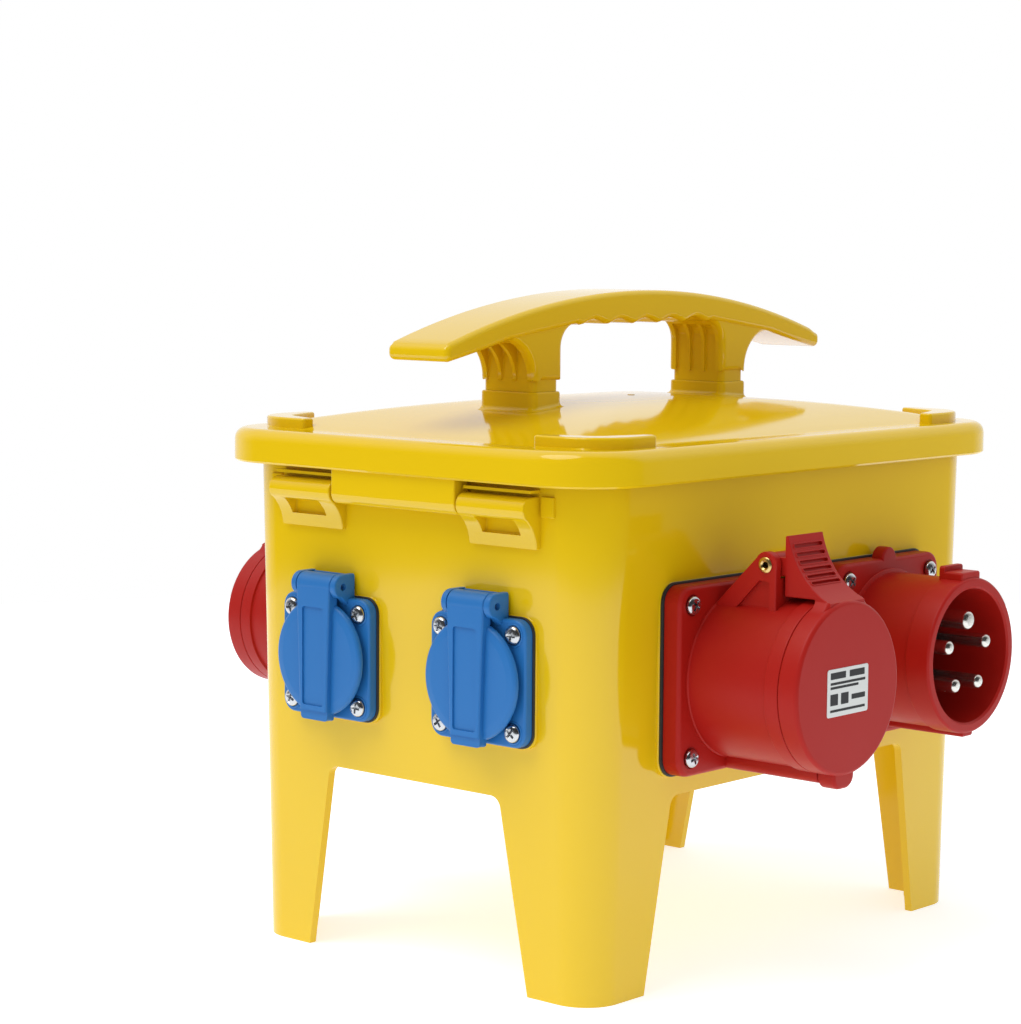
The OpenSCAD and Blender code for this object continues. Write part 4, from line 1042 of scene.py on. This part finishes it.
def make_cees():
    caps = {"cee32": 34, "cee16_front": 32, "cee16_rear": 32}
    shapes = {r: (cee_housing(r), cee_flap(r)) for r in (34, 32)}
    insert = cee_insert()
    pad = gasket(CEE_FLANGE + 0.9, 7.9, 26.6, "x")
    pin = rivet()
    ax, az = CEE_AXIS
    coil = moved(moved(helix(2.9, 0.46, 9, 10.4), turn(90, "Z")), shift(ax, 0, az))
    coils = []
    for name, r in caps.items():
        side, row = CEE_SPOTS[name]
        place = cee_place(side, row)
        body = f"{name}_flap_body"
        housing, flap = shapes[r]
        low, high = CEE_FRONT + 0.02, CEE_FRONT + 2.3
        section = [(low, r - 7.4, 0.5), (high, r - 7.4, 0.5), (high, r - 3.2, 0.5), (low, r - 3.2, 0.5)]
        seal = lathe(rounded(section, 3), "x")
        piece(f"{name}_socket", housing, "tub", "red_plastic", [f"{name}_housing"], place)
        piece(f"{name}_cover", flap, body, "red_plastic", [f"{name}_flap"], place)
        piece(f"{name}_cover_seal", seal, body, "black_rubber", [f"{name}_flap_seal"], place)
        piece(f"{name}_rivet", pin, "tub", "brass", [f"{name}_flap_pin"], place)
        piece(f"{name}_pad", pad, "tub", "black_rubber", [f"{name}_gasket"], place)
        piece(f"{name}_carrier", insert, "tub", "red_plastic", [f"{name}_insert"], place)
        coils.append(moved(coil, place))
    piece("cee_springs", merge(coils), "tub", "zinc_steel", ["cee_flap_springs"])
    piece("inlet_pad", pad, "tub", "black_rubber", ["inlet_gasket"], cee_place(1, 1))


def make_label():
    """Thin rating plate with blank generic rows."""
    y, z = -0.7, -0.7
    face = CEE_FRONT + CAP_T
    outline = rectangle(y - 13.5, y + 13.5, z - 9.25, z + 9.25, 1)
    place = cee_place(1, -1)
    plate = prism(outline, "x", face - 0.02, face + 0.2, 0, 0.05)
    piece("rating_plate", plate, "cee32_flap_body", "label_film", ["cee32_label"], place)
    rows = [(-11.5, -1.5, 6.6, 1.3), (1.0, 11.0, 6.6, 1.3), (-11.5, 11.5, 3.6, 0.5), (-11.5, 7.0, 2.0, 0.5)]
    rows += [(-11.5, -6.5, -2.6, 2.2), (-4.5, 0.5, -2.6, 2.2), (2.5, 11.5, -2.6, 1.0), (-11.5, 11.5, -6.9, 0.5)]
    bars = []
    for low, high, mid, half in rows:
        shape = rectangle(y + low, y + high, z + mid - half, z + mid + half, 0.2, 2)
        bars.append(prism(shape, "x", face + 0.15, face + 0.24))
    piece("rating_plate_rows", merge(bars), "cee32_flap_body", "black_plastic", (), place)


# ---------- inlet ----------

INLET_FRONT = 49.4
INLET_R = 32.5
INLET_WELL = 28
PIN_RING = 14.7
PIN_TIP = 1.8


def inlet_shroud():
    """Flange and shroud with its locking lug."""
    plate, bosses = cee_flange()
    bump = rod("x", 2, 8, 5.0, 0, CEE_FLANGE - 0.4, 0.8)
    profile = [(1, 0, 0), (1, INLET_R - 1, 0), (38.0, INLET_R - 1, 0.3), (38.5, INLET_R, 0.3)]
    shroud = lathe(rounded(profile + [(INLET_FRONT, INLET_R, 1.2), (INLET_FRONT, 0, 0)], 4), "x", 128)
    profile = [(6, 0, 0), (6, INLET_R + 0.6, 0), (8.5, INLET_R + 0.5, 0.5), (9.2, INLET_R - 1.5, 0.5), (9.2, 0, 0)]
    foot = lathe(rounded(profile, 3), "x", 128)
    step = rectangle(-7, 7, INLET_R - 4, INLET_R + 2.4, 1.0)
    lug = prism(step, "x", INLET_FRONT - 11, INLET_FRONT - 1, 0.6, 0.8)
    upright = rectangle(-7, 7, INLET_R - 4, INLET_R + 4.6, 1.2)
    back = prism(upright, "x", INLET_FRONT - 12.2, INLET_FRONT - 9.4, 0.5, 0.5)
    bead = prism(rectangle(-4, 4, -INLET_R - 1.5, -INLET_R + 3, 1.2), "x", 7, INLET_FRONT - 1, 0, 0.8)
    whole = join(plate, *bosses, bump, shroud, foot, lug, back, bead)
    profile = [(2, 0), (2, INLET_WELL), (INLET_FRONT - 0.8, INLET_WELL), (INLET_FRONT + 1, INLET_WELL + 1.8)]
    well = lathe(profile + [(INLET_FRONT + 1, 0)], "x", 128)
    floor_hole = rod("x", -1, 3, BODY_R, 0, 0, 0, 96)
    return cut(whole, well, floor_hole, *flange_screw_rooms())


def make_inlet():
    """Shroud, black carrier and five pins, the earth pin thicker."""
    place = cee_place(1, 1)
    piece("inlet_shroud", inlet_shroud(), "tub", "red_plastic", ["inlet_housing"], place)
    profile = [(-34, 0), (-34, BODY_R - 0.6), (-33.4, BODY_R - 0.1), (2, BODY_R - 0.1), (2, INLET_WELL - 0.05)]
    profile += [(8.5, INLET_WELL - 0.05), (9, INLET_WELL - 0.55), (9, 0)]
    floor = lathe(profile, "x", 96)
    pins = []
    cores = []
    tip = INLET_FRONT - 0.8
    for i in range(5):
        a = math.radians(72 * i)
        y, z = -PIN_RING * math.sin(a), PIN_RING * math.cos(a)
        r = 4 if i == 0 else 3
        cores.append(rod("x", -30, 12, r - 0.44, y, z))
        profile = [(-29, 0), (-29, r - 0.5), (9.0, r - 0.5), (9.0, r), (tip - PIN_TIP, r)]
        profile += arc(tip - PIN_TIP, r - PIN_TIP, PIN_TIP, 70, 10, 3) + [(tip, r - PIN_TIP), (tip, 0)]
        pins.append(lathe(profile, "x", 48, y, z))
    piece("inlet_floor", cut(floor, *cores), "tub", "black_plastic", ["inlet_insert"], place)
    piece("inlet_contact_pins", merge(pins), "tub", "nickel_plate", ["inlet_pins"], place)


# ---------- breakers and wiring ----------

MODULE = 17.6


def clamp_screw(x, y, z):
    """Small upright terminal screw."""
    return moved(screw(3), shift(x, y, z) @ turn(-90, "Y") @ Matrix.Scale(0.72, 4))


def breaker(node, name, count, body_slot, lever_half):
    """Breaker body: one shouldered block for each module, with wells and a lever pocket."""
    low, high = box(node)
    y0, y1 = low.y, high.y
    z0, z2 = low.z, high.z
    z1, hx, notch, rail_top = z0 + 46, high.x, 17.8, 96
    half = [(notch, rail_top, 0), (notch, z0, 0), (hx, z0, 0.8), (hx, z1, 1.2), (22, z1, 0.8), (22, z2, 1)]
    outline = rounded([(-x, z, r) for x, z, r in reversed(half)] + half, 3)
    blocks = []
    for i in range(count):
        start = y0 + i * MODULE
        end = y1 if i == count - 1 else start + MODULE
        blocks.append(prism(outline, "y", start, end, 0.35, 0.35))
    core = prism(inset(counter_clockwise(outline), 0.5), "y", y0 + 0.4, y1 - 0.4)
    mid = (y0 + y1) / 2
    cuts = [block(-12, 12, mid - lever_half - 0.4, mid + lever_half + 0.4, 143, z2 + 1, 0.6)]
    cuts.append(rod("y", mid - lever_half - 2.2, mid + lever_half + 2.2, 1.56, 0, 150))
    wells = []
    for i in range(count):
        y = y0 + (i + 0.5) * MODULE - 0.1
        for x in (-33, 33):
            cuts.append(rod("z", z1 - 6, z1 + 4, 3, x, y))
            wells.append(clamp_screw(x, y, z1 - 5.6))
    if node == "rcd_body":
        gap_low, gap_high = [v + Vector((s, s, s)) for v, s in zip(box("rcd_test_button"), (-0.3, 0.3))]
        cuts.append(block(gap_low.x, gap_high.x, gap_low.y, gap_high.y, z2 - 9, z2 + 1))
    piece(name, cut(join(core, *blocks), *cuts), "tub", body_slot, [node])
    return wells


def lever(node, name, slot):
    """Toggle lever on its axle, with a waisted paddle."""
    low, high = box(node)
    mid = (low.y + high.y) / 2
    half = (high.y - low.y) / 2 - 2
    drum = rod("y", -half, half, 6, 0, 0, 0.4)
    axle = rod("y", -half - 2, half + 2, 1.5)
    paddle = [(-1.6, 3, 0), (1.6, 3, 0), (1.2, 9, 3), (1.6, 14.9, 0.7), (-1.6, 14.9, 0.7), (-1.2, 9, 3)]
    blade = moved(prism(rounded(paddle, 3), "y", -half + 0.5, half - 0.5, 0.5, 0.5), turn(38, "Y"))
    piece(name, join(drum, axle, blade), node + "_body", slot, [node], shift(0, mid, 150))


def make_breakers():
    wells = breaker("rcd_body", "residual_current_device", 4, "grey_plastic", 7)
    wells += breaker("mcb_3p_body", "three_pole_breaker", 3, "grey_plastic", 12)
    wells += breaker("mcb_a_body", "single_breaker_a", 1, "grey_plastic", 4.5)
    wells += breaker("mcb_b_body", "single_breaker_b", 1, "grey_plastic", 4.5)
    piece("terminal_screws", merge(wells), "tub", "zinc_steel")
    lever("rcd_lever", "residual_current_lever", "blue_plastic")
    lever("mcb_3p_lever", "three_pole_lever", "black_plastic")
    lever("mcb_a_lever", "single_lever_a", "black_plastic")
    lever("mcb_b_lever", "single_lever_b", "black_plastic")
    low, high = box("rcd_test_button")
    button = block(low.x, high.x, low.y, high.y, low.z, high.z, 0.8, 0.6)
    piece("test_button", button, "rcd_button_body", "black_plastic", ["rcd_test_button"])


def make_terminals():
    """Terminal block: five clamps with a screw and a cable hole each."""
    low, high = box("terminal_block")
    body = block(low.x, high.x, low.y, high.y, low.z, high.z, 1, 0.8)
    mid = (low.y + high.y) / 2
    cuts = []
    heads = []
    for i in range(-2, 3):
        cuts.append(rod("z", low.z + 14, high.z + 2, 3, 12 * i, mid))
        cuts.append(rod("y", low.y - 1, high.y + 1, 2.6, 12 * i, low.z + 9))
        heads.append(clamp_screw(12 * i, mid, low.z + 14.4))
    slits = [12 * i - 6 for i in range(-1, 3)]
    cuts += [block(x - 0.4, x + 0.4, low.y - 1, high.y + 1, high.z - 4, high.z + 1) for x in slits]
    piece("terminal_strip", cut(body, *cuts), "tub", "grey_plastic", ["terminal_block"])
    piece("terminal_strip_screws", merge(heads), "tub", "zinc_steel")


def make_wiring():
    """The CAD's cable bundles, welded and rounded."""
    source = frame["nodes"]["wiring"].data
    bm = bmesh.new()
    bm.from_mesh(source)
    bmesh.ops.remove_doubles(bm, verts=bm.verts, dist=1e-6)
    copy = bpy.data.meshes.new("cables")
    bm.to_mesh(copy)
    bm.free()
    copy.transform(Matrix.Scale(1 / MM, 4))
    thing = piece("cable_bundles", copy, "tub", "cable_jacket", ["wiring"])
    rounder = thing.modifiers.new("rounder", "SUBSURF")
    rounder.levels = rounder.render_levels = 1


def dress_cad():
    """Every CAD node that stays visible gets its slot's finish."""
    slots = {s["node"]: s["material_slot"] for s in frame["record"]["subparts"]}
    for name, thing in frame["nodes"].items():
        if thing.hide_render:
            continue
        thing.data.materials.clear()
        thing.data.materials.append(materials[slots[name]])


# ---------- stage ----------

def backdrop():
    """Plain pale floor."""
    bm = bmesh.new()
    bmesh.ops.create_circle(bm, cap_ends=True, radius=FLOOR_RADIUS, segments=64)
    mesh = bpy.data.meshes.new("floor")
    bm.to_mesh(mesh)
    bm.free()
    floor = placed("floor", mesh)
    n = Nodes("floor_paint")
    n.look("Base Color", n.blend(n.noise(3.0), (0.75, 0.75, 0.75), (0.77, 0.77, 0.77)))
    n.look("Roughness", 0.7)
    n.look("Specular IOR Level", 0.2)
    n.look("Emission Color", FLOOR_TINT)
    n.look("Emission Strength", FLOOR_GLOW)
    mesh.materials.append(n.material)


def sun(name, come_from, strength, spread):
    """Very wide soft light that comes from one direction."""
    light = bpy.data.lights.new(name, "SUN")
    light.energy = strength
    light.angle = math.radians(spread)
    placed(name, light).rotation_euler = (-Vector(come_from)).to_track_quat("-Z", "Y").to_euler()


def sky(diffuse, seen, front):
    """White surroundings: dim as a light, white behind the object, darker in front of it."""
    world = bpy.data.worlds.new("studio")
    bpy.context.scene.world = world
    world.use_nodes = True
    tree = world.node_tree
    path = tree.nodes.new("ShaderNodeLightPath").outputs

    def mixed(factor, first, second):
        node = tree.nodes.new("ShaderNodeMix")
        tree.links.new(factor, node.inputs["Factor"])
        for name, value in (("A", first), ("B", second)):
            if isinstance(value, bpy.types.NodeSocket):
                tree.links.new(value, node.inputs[name])
            else:
                node.inputs[name].default_value = value
        return node.outputs["Result"]

    along = tree.nodes.new("ShaderNodeVectorMath")
    along.operation = "DOT_PRODUCT"
    along.inputs[1].default_value = BACK_DIRECTION
    tree.links.new(tree.nodes.new("ShaderNodeTexCoord").outputs["Generated"], along.inputs[0])
    spread = tree.nodes.new("ShaderNodeMapRange")
    for name, value in (("From Min", 0.0), ("From Max", 0.5), ("To Min", front), ("To Max", seen)):
        spread.inputs[name].default_value = value
    tree.links.new(along.outputs["Value"], spread.inputs["Value"])
    mirror = mixed(path["Is Glossy Ray"], diffuse, spread.outputs["Result"])
    strength = mixed(path["Is Camera Ray"], mirror, seen)
    background = tree.nodes["Background"]
    background.inputs["Color"].default_value = (1, 1, 1, 1)
    tree.links.new(strength, background.inputs["Strength"])


def camera():
    """The photograph's view: place, heading, pitch, roll and lens."""
    yaw, pitch, roll = 0.729210, -0.099594, 0.006553
    ahead = Vector((-math.sin(yaw) * math.cos(pitch), math.cos(yaw) * math.cos(pitch), math.sin(pitch)))
    right = Vector((math.cos(yaw), math.sin(yaw), 0))
    up = right.cross(ahead)
    across = math.cos(roll) * right + math.sin(roll) * up
    above = -math.sin(roll) * right + math.cos(roll) * up
    lens = bpy.data.cameras.new("camera")
    lens.lens = 97.61
    lens.sensor_width = 36
    lens.clip_start = 0.01
    eye = placed("camera", lens)
    eye.matrix_world = Matrix((across, above, -ahead)).transposed().to_4x4()
    eye.location = (0.76348, -0.92485, 0.29719)
    bpy.context.scene.camera = eye


FLOOR_GLOW = 0.64
FLOOR_TINT = (0.86, 0.94, 1.0, 1)
FLOOR_RADIUS = 1.1
BACK_DIRECTION = (-0.60, 0.66, 0.45)
camera()
backdrop()
sky(0.62, 1.0, 0.04)
sun("key", (-0.20, -0.42, 0.86), 1.45, 44)
bpy.context.scene.view_settings.view_transform = "Standard"
bpy.context.scene.view_settings.look = "None"

make_tub()
make_lid()
make_handle()
make_screws()
make_schukos()
make_cees()
make_label()
make_inlet()
make_breakers()
make_terminals()
make_wiring()
dress_cad()

bpy.context.view_layer.update()
